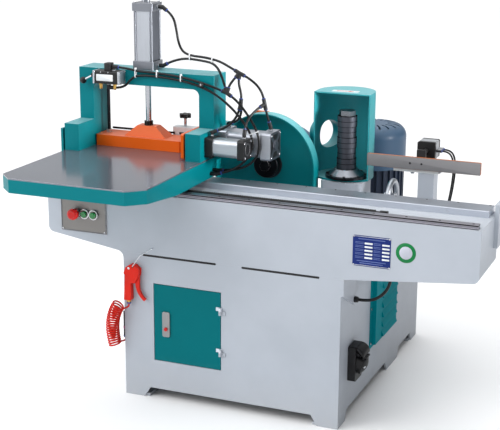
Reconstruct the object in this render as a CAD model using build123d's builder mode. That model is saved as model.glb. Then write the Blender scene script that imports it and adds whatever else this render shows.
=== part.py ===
"""Finger joint machine: a bed on a cabinet, a table with an air press, a saw and a cutter spindle."""

import os
from math import cos, pi, radians, sin, sqrt, tan

from build123d import *

os.makedirs("parts", exist_ok=True)

# Shared clearances
slide_gap = 0.3
fit_gap = 0.05
hole_gap = 2.0

# Cabinet, a welded sheet box that is open underneath
cabinet_width = 750.0
cabinet_depth = 932.0
cabinet_height = 497.0
cabinet_wall = 6.0
cabinet_top = 12.0
foot_height = 35.0
foot_slope = 22.0
corner_foot = 70.0
middle_foot_y = 142.0
middle_foot_width = 128.0
anchor_spacing_x = 650.0
anchor_spacing_y = 830.0
anchor_radius = 7.0
anchor_plate = 74.0
anchor_plate_thickness = 10.0
cover_depth = 131.0
cover_front_drop = 55.0
cover_rear_drop = 121.0
cover_thickness = 8.0

# Cabinet door with its hinges and latch
door_inset = 110.0
door_bottom = 137.0
door_width = 237.0
door_height = 263.0
door_gap = 2.0
door_sheet = 3.0
door_fold = 16.0
hinge_spacing = 141.0
hinge_stand_off = 6.0
hinge_radius = 5.0
hinge_pin_radius = 2.5
hinge_half = 12.0
hinge_leaf = 16.0
hinge_leaf_thickness = 3.0
latch_width = 26.0
latch_height = 86.0
latch_thickness = 5.0
latch_inset = 31.0
latch_rise = 87.0
latch_button_radius = 6.0
latch_button_rise = 27.0
latch_button_length = 5.0
latch_button_out = 4.0

# Louvred cover and power inlet on the right side
louvre_panel_y = -11.0
louvre_panel_bottom = 157.0
louvre_panel_width = 278.0
louvre_panel_height = 283.0
louvre_panel_out = 18.0
louvre_flange = 14.0
louvre_sheet = 3.0
louvre_count = 7
louvre_pitch = 34.0
louvre_length = 166.0
louvre_rise = 22.0
louvre_out = 8.0
louvre_shift = 26.0
inlet_setback = 121.0
inlet_z = 190.0
inlet_width = 70.0
inlet_height = 116.0
inlet_depth = 26.0
inlet_tilt = 20.0
shroud_radius = 30.0
shroud_length = 28.0
shroud_wall = 3.0
lid_radius = 31.0
lid_thickness = 6.0
lid_knuckle = 4.0
lid_pin_radius = 2.0
lid_knuckle_length = 20.0
lid_ear = 6.0

# Electrical plate behind the door
plate_setback = 166.0
plate_thickness = 4.0
plate_bottom = 120.0
plate_height = 300.0
plate_reach = 330.0
device_depth = 62.0
device_margin = 80.0
device_width = 50.0
device_pitch = 66.0
device_columns = 3
device_rows = ((186.0, 84.0), (90.0, 60.0))
strip_level = 24.0
strip_height = 36.0
strip_depth = 37.0

# Bed
bed_left_over = 278.0
bed_right_over = 422.0
bed_depth = 237.0
bed_height = 202.0
bed_end_rise = 41.0
bed_wall = 10.0
bed_corner = 20.0
end_stop_thickness = 14.0
end_stop_depth = 61.0
end_stop_drop = 99.0
end_stop_rise = 36.0
cable_boss = 30.0
cable_boss_x = 122.0

# Rail and way on the bed
rail_setback = 7.0
rail_width = 26.0
rail_height = 14.0
rail_groove = 4.0
rail_end_gap = 12.0
way_setback = 6.0
way_width = 80.0
way_height = 21.0

# Control panel on the bed front
panel_inset = 51.0
panel_rise = 51.0
panel_width = 168.0
panel_height = 116.0
panel_thickness = 3.0
button_rise = 63.0
estop_inset = 57.0
button_pitch = 33.0
estop_radius = 18.5
estop_stem_radius = 11.0
estop_out = 37.0
estop_head = 16.0
estop_collar_out = 12.0
start_radius = 10.0
start_out = 19.0
start_length = 11.0
collar_wall = 3.5
collar_out = 10.0

# Saw unit
saw_x = -36.0
saw_height = 236.0
saw_hood_radius = 180.0
saw_clear = 21.0
saw_hood_depth = 45.0
saw_hood_wall = 4.0
saw_hood_drop = 133.0
saw_hole_radius = 50.0
saw_housing_radius = 62.0
saw_housing_length = 90.0
saw_column = 100.0
saw_foot_margin = 30.0
saw_foot_thickness = 15.0
saw_shaft_radius = 15.0
saw_flange_radius = 44.0
saw_flange_thickness = 14.0
saw_flange_inset = 14.0
saw_nut = 20.0
saw_nut_thickness = 10.0
saw_motor_flange = 125.0
saw_motor_flange_thickness = 12.0
saw_motor_radius = 80.0
saw_motor_length = 105.0
saw_motor_cover = 45.0
saw_cover_dome = 16.0

# Cutter spindle, its base and its hood
spindle_x = 231.0
spindle_setback = 101.0
base_width = 144.0
base_depth = 120.0
base_height = 201.0
base_corner = 12.0
base_foot_margin = 14.0
base_foot_thickness = 15.0
quill_radius = 40.0
quill_bore = 27.0
quill_below = 31.0
quill_travel = 45.0
quill_flange_radius = 70.0
quill_flange_thickness = 29.0
quill_flange_gap = 8.0
quill_plate = 9.0
quill_cone_low = 58.0
quill_cone_high = 40.0
bearing_height = 20.0
bearing_inset = 4.0
spindle_radius = 20.0
collar_radius = 33.0
collar_step = 2.0
collar_height = 36.0
collar_count = 5
spindle_nut = 29.0
spindle_nut_height = 17.0
hood_shift = 18.0
hood_lead = 10.0
hood_half_width = 98.0
hood_straight = 50.0
hood_height = 292.0
hood_wall = 4.0
hood_floor = 6.0
hood_apron = 40.0
port_angle = 55.0
port_z = 130.0
port_radius = 52.0
port_length = 40.0

# Main motor and the flat belt drive
motor_shift = 7.0
motor_spacing = 285.0
motor_radius = 112.0
motor_fin = 8.0
motor_fin_thickness = 7.0
motor_fin_count = 28
motor_body_height = 178.0
motor_foot = 250.0
motor_foot_thickness = 15.0
fan_cover_height = 150.0
fan_cover_dome = 44.0
fan_cover_sheet = 4.0
fan_slot_count = 18
fan_slot_width = 7.0
motor_shaft_radius = 19.0
motor_shaft_length = 105.0
terminal_box_width = 90.0
terminal_box_depth = 56.0
terminal_box_height = 90.0
terminal_box_rise = 48.0
belt_width = 40.0
belt_thickness = 4.0
belt_drop = 54.0
spindle_pulley_radius = 40.0
motor_pulley_radius = 80.0
pulley_margin = 5.0

# Handwheel of the quill lift
handwheel_rise = 152.0
handwheel_radius = 65.0
handwheel_rim = 9.0
handwheel_stand_off = 91.0
handwheel_hub_radius = 15.0
handwheel_hub_length = 26.0
handwheel_shaft_radius = 9.0
handwheel_shaft_inset = 16.0
handwheel_spokes = 3
handwheel_spoke = 12.0

# Length stop behind the bed
stop_overlap = 54.0
stop_width = 378.0
stop_plate_bottom = 268.0
stop_plate_height = 41.0
stop_plate_thickness = 10.0
stop_lead = 58.0
stop_stroke = 50.0
stop_arm_inset = 55.0
stop_arm_height = 40.0
stop_arm_over = 64.0
stop_post_over = 117.0
stop_post_width = 53.0
stop_post_lead = 45.0
stop_post_depth = 52.0
stop_bracket_over = 38.0
stop_bracket_width = 152.0
stop_bracket_thickness = 8.0
stop_cylinder_over = 125.0
stop_cylinder_size = 60.0
stop_cylinder_length = 66.0
stop_cylinder_rise = 20.0
stop_rod_radius = 8.0
stop_lug_width = 30.0
stop_lug_thickness = 10.0
stop_ports = (0.3, 0.7)
stop_seat_leads = (26.0, 4.0)

# Sliding table
table_inset = 10.0
table_width = 498.0
table_over = 322.0
table_back = 128.0
table_rise = 94.0
table_sheet = 4.0
table_corner_x = 50.0
table_corner_y = 48.0
deck_plate = 14.0
skirt_wall = 6.0
skirt_front_depth = 46.0
skirt_side_depth = 67.0
skirt_slope_start = 43.0
skirt_slope_stop = 248.0
skirt_short = 133.0
saddle_height = 30.0
saddle_margin = 23.0
saddle_front_depth = 64.0
bearing_block_length = 90.0
bearing_block_width = 50.0
bearing_block_lift = 3.0
bearing_block_inset = 20.0
shoe_margin = 4.0

# Press gantry
post_width = 53.0
foot_lead = 260.0
foot_rise = 91.0
post_lead = 152.0
post_depth = 99.0
beam_rise = 217.0
beam_height = 49.0
beam_corner = 22.0
side_plate_gap = 7.0
side_plate_thickness = 8.0
side_plate_drop = 8.0
side_plate_height = 81.0
side_plate_spacer = 10.0

# Press cylinder, rod, beam and guide rod
press_inset = 235.0
press_lead = 102.0
press_cap = 76.0
press_low_cap = 29.0
press_barrel_height = 166.0
press_top_cap = 26.0
press_nub = 10.0
press_barrel = 62.0
press_barrel_corner = 9.0
press_bore = 25.0
tie_rod_radius = 4.0
tie_rod_inset = 8.0
press_rod_radius = 10.0
press_collar_radius = 15.0
press_collar_height = 15.0
press_piston = 20.0
press_beam_inset = 57.0
press_beam_width = 318.0
press_beam_lead = 151.0
press_beam_depth = 98.0
press_beam_height = 38.0
hump_base_width = 155.0
hump_base_depth = 64.0
hump_top_width = 68.0
hump_top_depth = 38.0
hump_height = 37.0
guide_rod_inset = 83.0
guide_rod_radius = 5.5

# Side clamp with its two cylinders
clamp_gap = 10.0
clamp_thickness = 10.0
clamp_lead = 251.0
clamp_depth = 222.0
clamp_lift = 4.0
clamp_height = 83.0
clamp_travel = 30.0
clamp_axis_rise = 43.0
clamp_rod_radius = 8.0
clamp_piston = 14.0
front_clamp_lead = 196.0
front_clamp_cap = 66.0
front_clamp_near_cap = 27.0
front_clamp_barrel = 88.0
front_clamp_far_cap = 23.0
front_clamp_tube = 58.0
front_clamp_bore = 24.0
rear_clamp_lead = 98.0
rear_clamp_cap = 91.0
rear_clamp_near_cap = 40.0
rear_clamp_barrel = 121.0
rear_clamp_far_cap = 35.0
rear_clamp_tube = 80.0
rear_clamp_bore = 34.0
rear_clamp_boss = 16.0
clamp_boss_height = 5.0

# Hand valve on the beam
valve_inset = 83.0
valve_width = 86.0
valve_depth = 45.0
valve_rise = 4.0
valve_height = 43.0
valve_end_plate = 6.0
valve_pivot_rise = 26.0
valve_fork_gap = 10.0
valve_cheek = 4.0
lever_reach_x = 42.0
lever_drop = 22.0
lever_radius = 3.5
lever_ball = 11.5
lever_boss = 7.0
lever_pin_radius = 2.5

# Work fence with its star knob
fence_inset = 298.0
fence_width = 83.0
fence_lead = 49.0
fence_depth = 38.0
fence_height = 65.0
knob_inset = 37.0
knob_setback = 25.0
knob_stem_radius = 5.0
knob_lift = 30.0
knob_radius = 21.0
knob_height = 13.0
knob_lobes = 6
knob_lobe_radius = 6.0

# Air lines and fittings
line_radius = 4.0
socket_radius = 6.5
socket_reach = 18.0
fitting_rise = 14.0
fitting_out = 19.0
bulkhead_step = 4.0
bulkhead_leads = (180.0, 159.0)
valve_out_inset = 60.0
valve_low_inset = 43.0
cable_radius = 5.0
gland_length = 14.0
stop_line_radius = 3.0
supply_radius = 6.0
supply_setback = 54.0
supply_inset_left = 233.0
supply_inset_right = 297.0
anchor_block = 26.0
anchor_block_width = 14.0

# Air gun on its hook, with the spiral hose and its outlet
gun_lead = 12.0
gun_thickness = 20.0
gun_slot = 8.6
trigger_thickness = 8.0
trigger_shift = 14.0
trigger_drop = 19.0
trigger_pin_radius = 2.0
trigger_lobe = 7.0
gun_inset = 44.0
gun_drop = 42.0
gun_hole_radius = 3.0
gun_fitting_shift = 21.0
gun_fitting_radius = 7.0
gun_fitting_drop = 128.0
gun_grip_drop = 116.0
hook_radius = 1.5
outlet_over = 10.0
outlet_setback = 22.0
outlet_length = 91.0
outlet_drop = 214.0
outlet_radius = 6.0
outlet_flange = 13.0
coil_tube_radius = 2.8
coil_radius = 20.0
coil_turns = 17
coil_loose = 0.1

# Levels and edges that follow from the sizes above
left = -cabinet_width / 2
right = cabinet_width / 2
front = -cabinet_depth / 2
back = cabinet_depth / 2
bed_left = left - bed_left_over
bed_right = right + bed_right_over
bed_back = front + bed_depth
deck = cabinet_height + bed_height
door_left = left + door_inset
inlet_y = front + inlet_setback
panel_left = bed_left + panel_inset
panel_bottom = cabinet_height + panel_rise
button_z = panel_bottom + button_rise
estop_x = panel_left + estop_inset
table_left = bed_left + table_inset
table_front = front - table_over
table_rear = bed_back + table_back
table_height = deck + table_rise
skirt_slope_front = table_front + skirt_slope_start
skirt_slope_rear = table_front + skirt_slope_stop
skirt_end = table_rear - skirt_short
saw_hood_front = table_rear + saw_clear
spindle_y = table_rear + spindle_setback
hood_x = spindle_x - hood_shift
hood_front = spindle_y - hood_lead
motor_x = spindle_x + motor_shift
motor_y = spindle_y + motor_spacing
stop_left = right - stop_overlap
stop_front = spindle_y - stop_lead
stop_arm_left = right - stop_arm_inset
stop_post_x = right + stop_post_over
stop_post_y = spindle_y - stop_post_lead
stop_bracket_left = right + stop_bracket_over
stop_cylinder_x = right + stop_cylinder_over
foot_front = table_rear - foot_lead
post_front = table_rear - post_lead
beam_bottom = table_height + beam_rise
side_plate_bottom = table_height - side_plate_drop
press_x = table_left + press_inset
press_y = table_rear - press_lead
press_beam_left = table_left + press_beam_inset
press_beam_front = table_rear - press_beam_lead
guide_rod_x = table_left + guide_rod_inset
clamp_front = table_rear - clamp_lead
front_clamp_y = table_rear - front_clamp_lead
rear_clamp_y = table_rear - rear_clamp_lead
valve_left = table_left + valve_inset
valve_bottom = beam_bottom + valve_rise
fence_left = table_left + fence_inset
fence_front = table_rear - fence_lead
knob_x = fence_left + knob_inset
knob_y = fence_front + knob_setback
supply_y = front + supply_setback
supply_left = bed_left + supply_inset_left
supply_right = bed_right - supply_inset_right
gun_y = front - gun_lead
gun_x = left + gun_inset
gun_z = cabinet_height - gun_drop
trigger_pivot = (gun_x + trigger_shift, gun_z - trigger_drop)
gun_fitting_x = gun_x - gun_fitting_shift
gun_fitting_bottom = gun_z - gun_fitting_drop
gun_grip_bottom = gun_z - gun_grip_drop
outlet_x = left - outlet_over
outlet_y = front + outlet_setback
outlet_top = cabinet_height - outlet_drop
outlet_bottom = outlet_top - outlet_length
rail_front = front + rail_setback
rail_back = rail_front + rail_width
rail_top = deck + rail_height
way_back = bed_back - way_setback
way_front = way_back - way_width
way_top = deck + way_height
door_right = door_left + door_width
door_top = door_bottom + door_height
hinge_x = door_right + door_gap / 2
hinge_y = front - hinge_stand_off
hinge_levels = [door_bottom + (door_height + side * hinge_spacing) / 2 for side in (-1, 1)]
latch_left = door_left + latch_inset
latch_bottom = door_bottom + latch_rise
latch_button_x = latch_left + latch_width / 2
latch_button_z = latch_bottom + latch_button_rise
start_places = [estop_x + button_pitch, estop_x + 2 * button_pitch]
louvre_hole_width = louvre_panel_width - 2 * louvre_flange
saw_z = cabinet_height + saw_height
saw_hood_back = saw_hood_front + saw_hood_depth
saw_housing_end = saw_hood_back + saw_housing_length
base_top = cabinet_height + base_height
quill_top = base_top + quill_flange_gap
quill_bottom = cabinet_height - quill_below
collar_bottom = quill_top + quill_flange_thickness + slide_gap
collar_top = collar_bottom + collar_count * collar_height
belt_top = cabinet_height - belt_drop
belt_bottom = belt_top - belt_width
spindle_pulley_top = belt_top + pulley_margin
spindle_pulley_bottom = belt_bottom - quill_travel - pulley_margin
motor_foot_top = cabinet_height + motor_foot_thickness
motor_body_top = motor_foot_top + motor_body_height
stop_bottom = cabinet_height + stop_plate_bottom
stop_plate_back = stop_front + stop_plate_thickness
stop_bracket_top = stop_bottom - 2 * slide_gap
stop_cylinder_y = stop_plate_back + stop_lug_thickness + stop_stroke + hole_gap
stop_cylinder_bottom = stop_bracket_top + stop_cylinder_rise
stop_rod_z = stop_cylinder_bottom + stop_cylinder_size / 2
table_right = table_left + table_width
deck_plate_top = table_height - table_sheet
deck_plate_bottom = deck_plate_top - deck_plate
saddle_bottom = deck_plate_bottom - saddle_height
skirt_bottom = table_height - skirt_side_depth
foot_top = table_height + foot_rise
beam_top = beam_bottom + beam_height
inner_left = table_left + post_width
inner_right = table_right - post_width
press_barrel_bottom = beam_top + press_low_cap
press_barrel_top = press_barrel_bottom + press_barrel_height
press_beam_bottom = table_height + slide_gap
press_beam_top = press_beam_bottom + press_beam_height
hump_top = press_beam_top + hump_height
clamp_z = table_height + clamp_axis_rise
clamp_back = inner_right - clamp_gap
valve_back = post_front
valve_y = valve_back - valve_depth / 2
valve_top = valve_bottom + valve_height
lever_x = valve_left - valve_end_plate - lever_boss - slide_gap
lever_z = valve_bottom + valve_pivot_rise
fence_top = table_height + fence_height
gun_front = gun_y - gun_thickness / 2
handwheel_x = spindle_x + base_width / 2 + handwheel_stand_off
handwheel_z = cabinet_height + handwheel_rise


def block(x, y, z, mode=Mode.ADD):
    """A box between the pairs x, y and z, in the open part."""
    sides = [high - low for low, high in (x, y, z)]
    middle = [(high + low) / 2 for low, high in (x, y, z)]
    with Locations(tuple(middle)):
        Box(*sides, mode=mode)


def bar(axis, span, spot, radius, mode=Mode.ADD):
    """A round bar along one axis, between the ends in span, at spot on the other two axes."""
    turns = {"x": (0, 90, 0), "y": (90, 0, 0), "z": (0, 0, 0)}
    middle = list(spot)
    middle.insert("xyz".index(axis), sum(span) / 2)
    with Locations(tuple(middle)):
        Cylinder(radius, span[1] - span[0], rotation=turns[axis], mode=mode)


def prism_y(points, y, mode=Mode.ADD, corner=0.0):
    """A face with the corners points, in x and z, drawn out along y."""
    with BuildSketch(Plane.XZ.offset(-y[0])) as profile:
        with BuildLine():
            Polyline(points, close=True)
        make_face()
        if corner:
            fillet(profile.vertices(), corner)
    extrude(profile.sketch, amount=y[0] - y[1], mode=mode)


def prism_x(points, x, mode=Mode.ADD):
    """A face with the corners points, in y and z, drawn out along x."""
    with BuildSketch(Plane.YZ.offset(x[0])) as profile:
        with BuildLine():
            Polyline(points, close=True)
        make_face()
    extrude(profile.sketch, amount=x[1] - x[0], mode=mode)


def square_bar(axis, span, spot, side, corner, mode=Mode.ADD):
    """A square bar with round long edges along x or z."""
    planes = {"x": Plane.YZ, "z": Plane.XY}
    with BuildSketch(planes[axis].offset(span[0])) as profile:
        with Locations(spot):
            RectangleRounded(side, side, corner)
    extrude(profile.sketch, amount=span[1] - span[0], mode=mode)


def unit(start, end):
    """The direction from one point to another."""
    return (Vector(*end) - Vector(*start)).normalized()


def socket(core, target, radius=socket_radius, reach=socket_reach):
    """A round socket of a fitting, from just behind its core towards target."""
    way = unit(core, target)
    with BuildSketch(Plane(Vector(*core) - way * radius / 2, z_dir=way)) as profile:
        Circle(radius)
    extrude(profile.sketch, amount=reach + radius / 2)


def hose(points, radius, name):
    """A tube on straight runs with an arc at each point, as large as the shorter run allows."""
    corners = [Vector(*point) for point in points]
    bends = []
    for before, here, after in zip(corners, corners[1:], corners[2:]):
        turn = radians((here - before).get_angle(after - here))
        run = min((here - before).length, (after - here).length)
        bends.append(0.45 * run / tan(turn / 2))
    with BuildLine() as route:
        FilletPolyline(corners, radius=bends)
    with BuildSketch(Plane(corners[0], z_dir=corners[1] - corners[0])) as section:
        Circle(radius)
    path = route.wire()
    sweep(section.sketch, path=path)
    least = min(bends) / (2 * radius)
    print(f"{name}: length {path.length:.0f} mm, least bend {least:.1f} diameters")


def from_corner(x, y, z):
    """A point of the carriage, from the table's right rear corner."""
    return (table_right + x, table_rear + y, table_height + z)


def from_hook(points):
    """Points in x and z, from the hole that hangs the gun on its hook."""
    return [(gun_x + x, gun_z + z) for x, z in points]


def line_points(start, points, end):
    """The points of an air line between two fittings, from socket mouth to socket mouth."""
    first = Vector(*start) + unit(start, points[0]) * socket_reach
    last = Vector(*end) + unit(end, points[-1]) * socket_reach
    return [first, *points, last]


def air_cylinder_rod(axis_y, plate, bore, piston_at):
    """A rod along x from a plate into a cylinder, with its piston."""
    bar("x", (plate, piston_at), (axis_y, clamp_z), clamp_rod_radius)
    bar("x", (piston_at - clamp_piston, piston_at), (axis_y, clamp_z), bore - fit_gap)


# Cabinet
with BuildPart() as cabinet:
    block((left, right), (front, back), (0, cabinet_height))
    inside_x = (left + cabinet_wall, right - cabinet_wall)
    inside_y = (front + cabinet_wall, back - cabinet_wall)
    block(inside_x, inside_y, (0, cabinet_height - cabinet_top), Mode.SUBTRACT)
    low = right - corner_foot
    prism_y(
        [(-low, 0), (low, 0), (low - foot_slope, foot_height), (foot_slope - low, foot_height)],
        (front, back),
        Mode.SUBTRACT,
    )
    middle_front = middle_foot_y - middle_foot_width / 2
    middle_back = middle_foot_y + middle_foot_width / 2
    for near, far in ((front + corner_foot, middle_front), (middle_back, back - corner_foot)):
        gap = [(near, 0), (far, 0), (far - foot_slope, foot_height), (near + foot_slope, foot_height)]
        prism_x(gap, (left, right), Mode.SUBTRACT)
    for side_x in (-1, 1):
        for side_y in (-1, 1):
            hole = (side_x * anchor_spacing_x / 2, side_y * anchor_spacing_y / 2)
            reach_x = sorted((hole[0] - side_x * anchor_plate / 2, side_x * (right - cabinet_wall)))
            reach_y = sorted((hole[1] - side_y * anchor_plate / 2, side_y * (back - cabinet_wall)))
            block(reach_x, reach_y, (0, anchor_plate_thickness))
            bar("z", (0, anchor_plate_thickness), hole, anchor_radius, Mode.SUBTRACT)
    block(
        (door_left - door_gap, door_right + door_gap),
        (front, front + cabinet_wall),
        (door_bottom - door_gap, door_top + door_gap),
        Mode.SUBTRACT,
    )
    for level in hinge_levels:
        bar("z", (level - hinge_half, level), (hinge_x, hinge_y), hinge_radius)
        bar("z", (level, level + hinge_half), (hinge_x, hinge_y), hinge_pin_radius)
        leaf_y = (front - hinge_leaf_thickness, front)
        block((hinge_x, hinge_x + hinge_leaf), leaf_y, (level - hinge_half, level))
    block(
        (right - cabinet_wall, right),
        (louvre_panel_y - louvre_hole_width / 2, louvre_panel_y + louvre_hole_width / 2),
        (louvre_panel_bottom + louvre_flange, louvre_panel_bottom + louvre_panel_height - louvre_flange),
        Mode.SUBTRACT,
    )
    prism_x(
        [
            (front, cabinet_height),
            (front, cabinet_height - cover_front_drop),
            (front + cover_depth, cabinet_height - cover_rear_drop),
            (front + cover_depth, cabinet_height),
        ],
        (right, right + cover_thickness),
    )
    top_z = (cabinet_height - cabinet_top, cabinet_height)
    bar("z", top_z, (spindle_x, spindle_y), quill_radius + 2 * hole_gap, Mode.SUBTRACT)
    bar("z", top_z, (motor_x, motor_y), 2 * motor_shaft_radius, Mode.SUBTRACT)

# Door with its folded edge and its hinge knuckles
with BuildPart() as cabinet_door:
    block((door_left, door_right), (front, front + door_fold), (door_bottom, door_top))
    block(
        (door_left + door_sheet, door_right - door_sheet),
        (front + door_sheet, front + door_fold),
        (door_bottom + door_sheet, door_top - door_sheet),
        Mode.SUBTRACT,
    )
    for level in hinge_levels:
        reach = (level + slide_gap, level + hinge_half)
        bar("z", reach, (hinge_x, hinge_y), hinge_radius)
        block((hinge_x - hinge_leaf, hinge_x), (front - hinge_leaf_thickness, front), reach)
        bar("z", reach, (hinge_x, hinge_y), hinge_pin_radius + fit_gap, Mode.SUBTRACT)

with BuildPart() as door_latch:
    block(
        (latch_left, latch_left + latch_width),
        (front - latch_thickness, front),
        (latch_bottom, latch_bottom + latch_height),
    )
    fillet(door_latch.edges().filter_by(Axis.Y), latch_button_radius)
    bar(
        "y",
        (front - latch_thickness, front),
        (latch_button_x, latch_button_z),
        latch_button_radius + slide_gap,
        Mode.SUBTRACT,
    )

with BuildPart() as latch_button:
    button_front = front - latch_thickness - latch_button_out
    bar(
        "y",
        (button_front, button_front + latch_button_length),
        (latch_button_x, latch_button_z),
        latch_button_radius,
    )

# Louvred cover over the belt drive
with BuildPart() as louvre_panel:
    panel_y = (louvre_panel_y - louvre_panel_width / 2, louvre_panel_y + louvre_panel_width / 2)
    panel_z = (louvre_panel_bottom, louvre_panel_bottom + louvre_panel_height)
    pan_y = (panel_y[0] + louvre_flange, panel_y[1] - louvre_flange)
    pan_z = (panel_z[0] + louvre_flange, panel_z[1] - louvre_flange)
    face_x = right + louvre_panel_out
    block((right, right + louvre_sheet), panel_y, panel_z)
    block((right, face_x), pan_y, pan_z)
    block(
        (right, face_x - louvre_sheet),
        (pan_y[0] + louvre_sheet, pan_y[1] - louvre_sheet),
        (pan_z[0] + louvre_sheet, pan_z[1] - louvre_sheet),
        Mode.SUBTRACT,
    )
    louvre_y = (
        louvre_panel_y + louvre_shift - louvre_length / 2,
        louvre_panel_y + louvre_shift + louvre_length / 2,
    )
    middle_z = louvre_panel_bottom + louvre_panel_height / 2
    for row in range(louvre_count):
        lip = middle_z + (row - louvre_count / 2) * louvre_pitch
        hood = [(face_x, lip), (face_x + louvre_out, lip), (face_x, lip + louvre_rise)]
        throat = face_x + louvre_out - louvre_sheet
        slit = [
            (face_x - louvre_sheet, lip),
            (throat, lip),
            (face_x - louvre_sheet, lip + louvre_rise - louvre_sheet),
        ]
        prism_y(hood, louvre_y)
        prism_y(slit, (louvre_y[0] + louvre_sheet, louvre_y[1] - louvre_sheet), Mode.SUBTRACT)

# Power inlet with a sloping shroud and a hinged lid
shroud_way = Vector(cos(radians(inlet_tilt)), 0, -sin(radians(inlet_tilt)))
shroud_up = Vector(sin(radians(inlet_tilt)), 0, cos(radians(inlet_tilt)))
shroud_root = Vector(right + inlet_depth / 2, inlet_y, inlet_z)
shroud_mouth = shroud_root + shroud_way * shroud_length
lid_base = shroud_mouth + shroud_way * slide_gap
lid_hinge = lid_base + shroud_up * (lid_radius + lid_knuckle) + shroud_way * lid_thickness / 2
with BuildPart() as power_inlet:
    block(
        (right, right + inlet_depth),
        (inlet_y - inlet_width / 2, inlet_y + inlet_width / 2),
        (inlet_z - inlet_height / 2, inlet_z + inlet_height / 2),
    )
    fillet(power_inlet.edges().filter_by(Axis.X), lid_thickness)
    with BuildSketch(Plane(shroud_root, x_dir=(0, 1, 0), z_dir=shroud_way)) as mouth:
        Circle(shroud_radius)
    extrude(amount=shroud_length)
    with BuildSketch(Plane(shroud_mouth, x_dir=(0, 1, 0), z_dir=shroud_way)) as bore:
        Circle(shroud_radius - shroud_wall)
    extrude(amount=-(shroud_length - lid_thickness), mode=Mode.SUBTRACT)
    ear_reach = lid_knuckle_length / 2 + slide_gap
    ear_profile = [
        (lid_thickness / 2, lid_radius + 2 * lid_knuckle),
        (lid_thickness / 2, lid_radius),
        (-slide_gap, shroud_radius),
        (-slide_gap, 0.8 * shroud_radius),
        (-lid_thickness, 0.8 * shroud_radius),
        (-lid_thickness, lid_radius + lid_knuckle),
    ]
    arm = [shroud_mouth + shroud_way * out + shroud_up * rise for out, rise in ear_profile]
    for side in (-1, 1):
        ear = sorted((inlet_y + side * ear_reach, inlet_y + side * (ear_reach + lid_ear)))
        bar("y", ear, (lid_hinge.X, lid_hinge.Z), lid_knuckle)
        prism_y([(corner.X, corner.Z) for corner in arm], ear)
    bar("y", (inlet_y - ear_reach, inlet_y + ear_reach), (lid_hinge.X, lid_hinge.Z), lid_pin_radius)

with BuildPart() as inlet_lid:
    with BuildSketch(Plane(lid_base, x_dir=(0, 1, 0), z_dir=shroud_way)) as disc:
        Circle(lid_radius)
    extrude(amount=lid_thickness)
    knuckle = (inlet_y - lid_knuckle_length / 2, inlet_y + lid_knuckle_length / 2)
    with BuildSketch(Plane(lid_base, x_dir=(0, 1, 0), z_dir=shroud_way)) as tongue:
        with Locations((0, lid_radius)):
            Rectangle(lid_knuckle_length, 2 * lid_knuckle)
    extrude(amount=lid_thickness)
    bar("y", knuckle, (lid_hinge.X, lid_hinge.Z), lid_knuckle)
    bar("y", knuckle, (lid_hinge.X, lid_hinge.Z), lid_pin_radius + fit_gap, Mode.SUBTRACT)

# Electrical plate with its contactors, a relay and a terminal strip
with BuildPart() as electrical_panel:
    wall_x = left + cabinet_wall
    plate_front = front + plate_setback
    block(
        (wall_x, wall_x + plate_reach),
        (plate_front, plate_front + plate_thickness),
        (plate_bottom, plate_bottom + plate_height),
    )
    device_y = (plate_front - device_depth, plate_front)
    for place in range(device_columns):
        start = wall_x + device_margin + place * device_pitch
        for level, tall in device_rows:
            bottom = plate_bottom + level
            block((start, start + device_width), device_y, (bottom, bottom + tall))
    strip_x = (wall_x + device_margin, wall_x + plate_reach - device_margin / 2)
    strip = plate_bottom + strip_level
    block(strip_x, (plate_front - strip_depth, plate_front), (strip, strip + strip_height))

# Bed, a box girder closed by the cabinet top
with BuildPart() as bed:
    outline = [
        (bed_left, deck),
        (bed_right, deck),
        (bed_right, cabinet_height + bed_end_rise),
        (right, cabinet_height),
        (left, cabinet_height),
        (bed_left, cabinet_height + bed_end_rise),
    ]
    with BuildSketch(Plane.XZ.offset(-front)) as girder:
        with BuildLine():
            Polyline(outline, close=True)
        make_face()
        fillet(girder.vertices().group_by(Axis.Y)[1], bed_corner)
    extrude(amount=-bed_depth)
    with BuildSketch(Plane.XZ.offset(-front - bed_wall)) as hollow:
        with BuildLine():
            Polyline(outline, close=True)
        make_face()
        offset(amount=-bed_wall, kind=Kind.INTERSECTION)
    extrude(amount=-(bed_depth - 2 * bed_wall), mode=Mode.SUBTRACT)
    block(
        (left + 4 * bed_wall, right - 4 * bed_wall),
        (front + bed_wall, bed_back - bed_wall),
        (cabinet_height, cabinet_height + bed_wall),
        Mode.SUBTRACT,
    )
    stop_y = (bed_back - end_stop_depth, bed_back)
    for near in (bed_left - end_stop_thickness, bed_right):
        block((near, near + end_stop_thickness), stop_y, (deck - end_stop_drop, deck + end_stop_rise))
    boss_x = right + cable_boss_x
    boss_y = front + bed_depth / 2
    boss_bottom = cabinet_height + bed_wall / 2
    block(
        (boss_x - cable_boss / 2, boss_x + cable_boss / 2),
        (boss_y - cable_boss / 2, boss_y + cable_boss / 2),
        (boss_bottom, boss_bottom + 2 * bed_wall),
    )

with BuildPart() as front_rail:
    rail_x = (bed_left + rail_end_gap, bed_right - rail_end_gap)
    block(rail_x, (rail_front, rail_back), (deck, rail_top))
    middle_z = deck + rail_height / 2
    groove_z = (middle_z - rail_groove / 2, middle_z + rail_groove / 2)
    block(rail_x, (rail_front, rail_front + rail_groove), groove_z, Mode.SUBTRACT)
    block(rail_x, (rail_back - rail_groove, rail_back), groove_z, Mode.SUBTRACT)

with BuildPart() as rear_way:
    block((bed_left + rail_end_gap, bed_right - rail_end_gap), (way_front, way_back), (deck, way_top))
    chamfer(rear_way.faces().sort_by(Axis.Z)[-1].edges().filter_by(Axis.X), rail_groove / 2)

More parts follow.
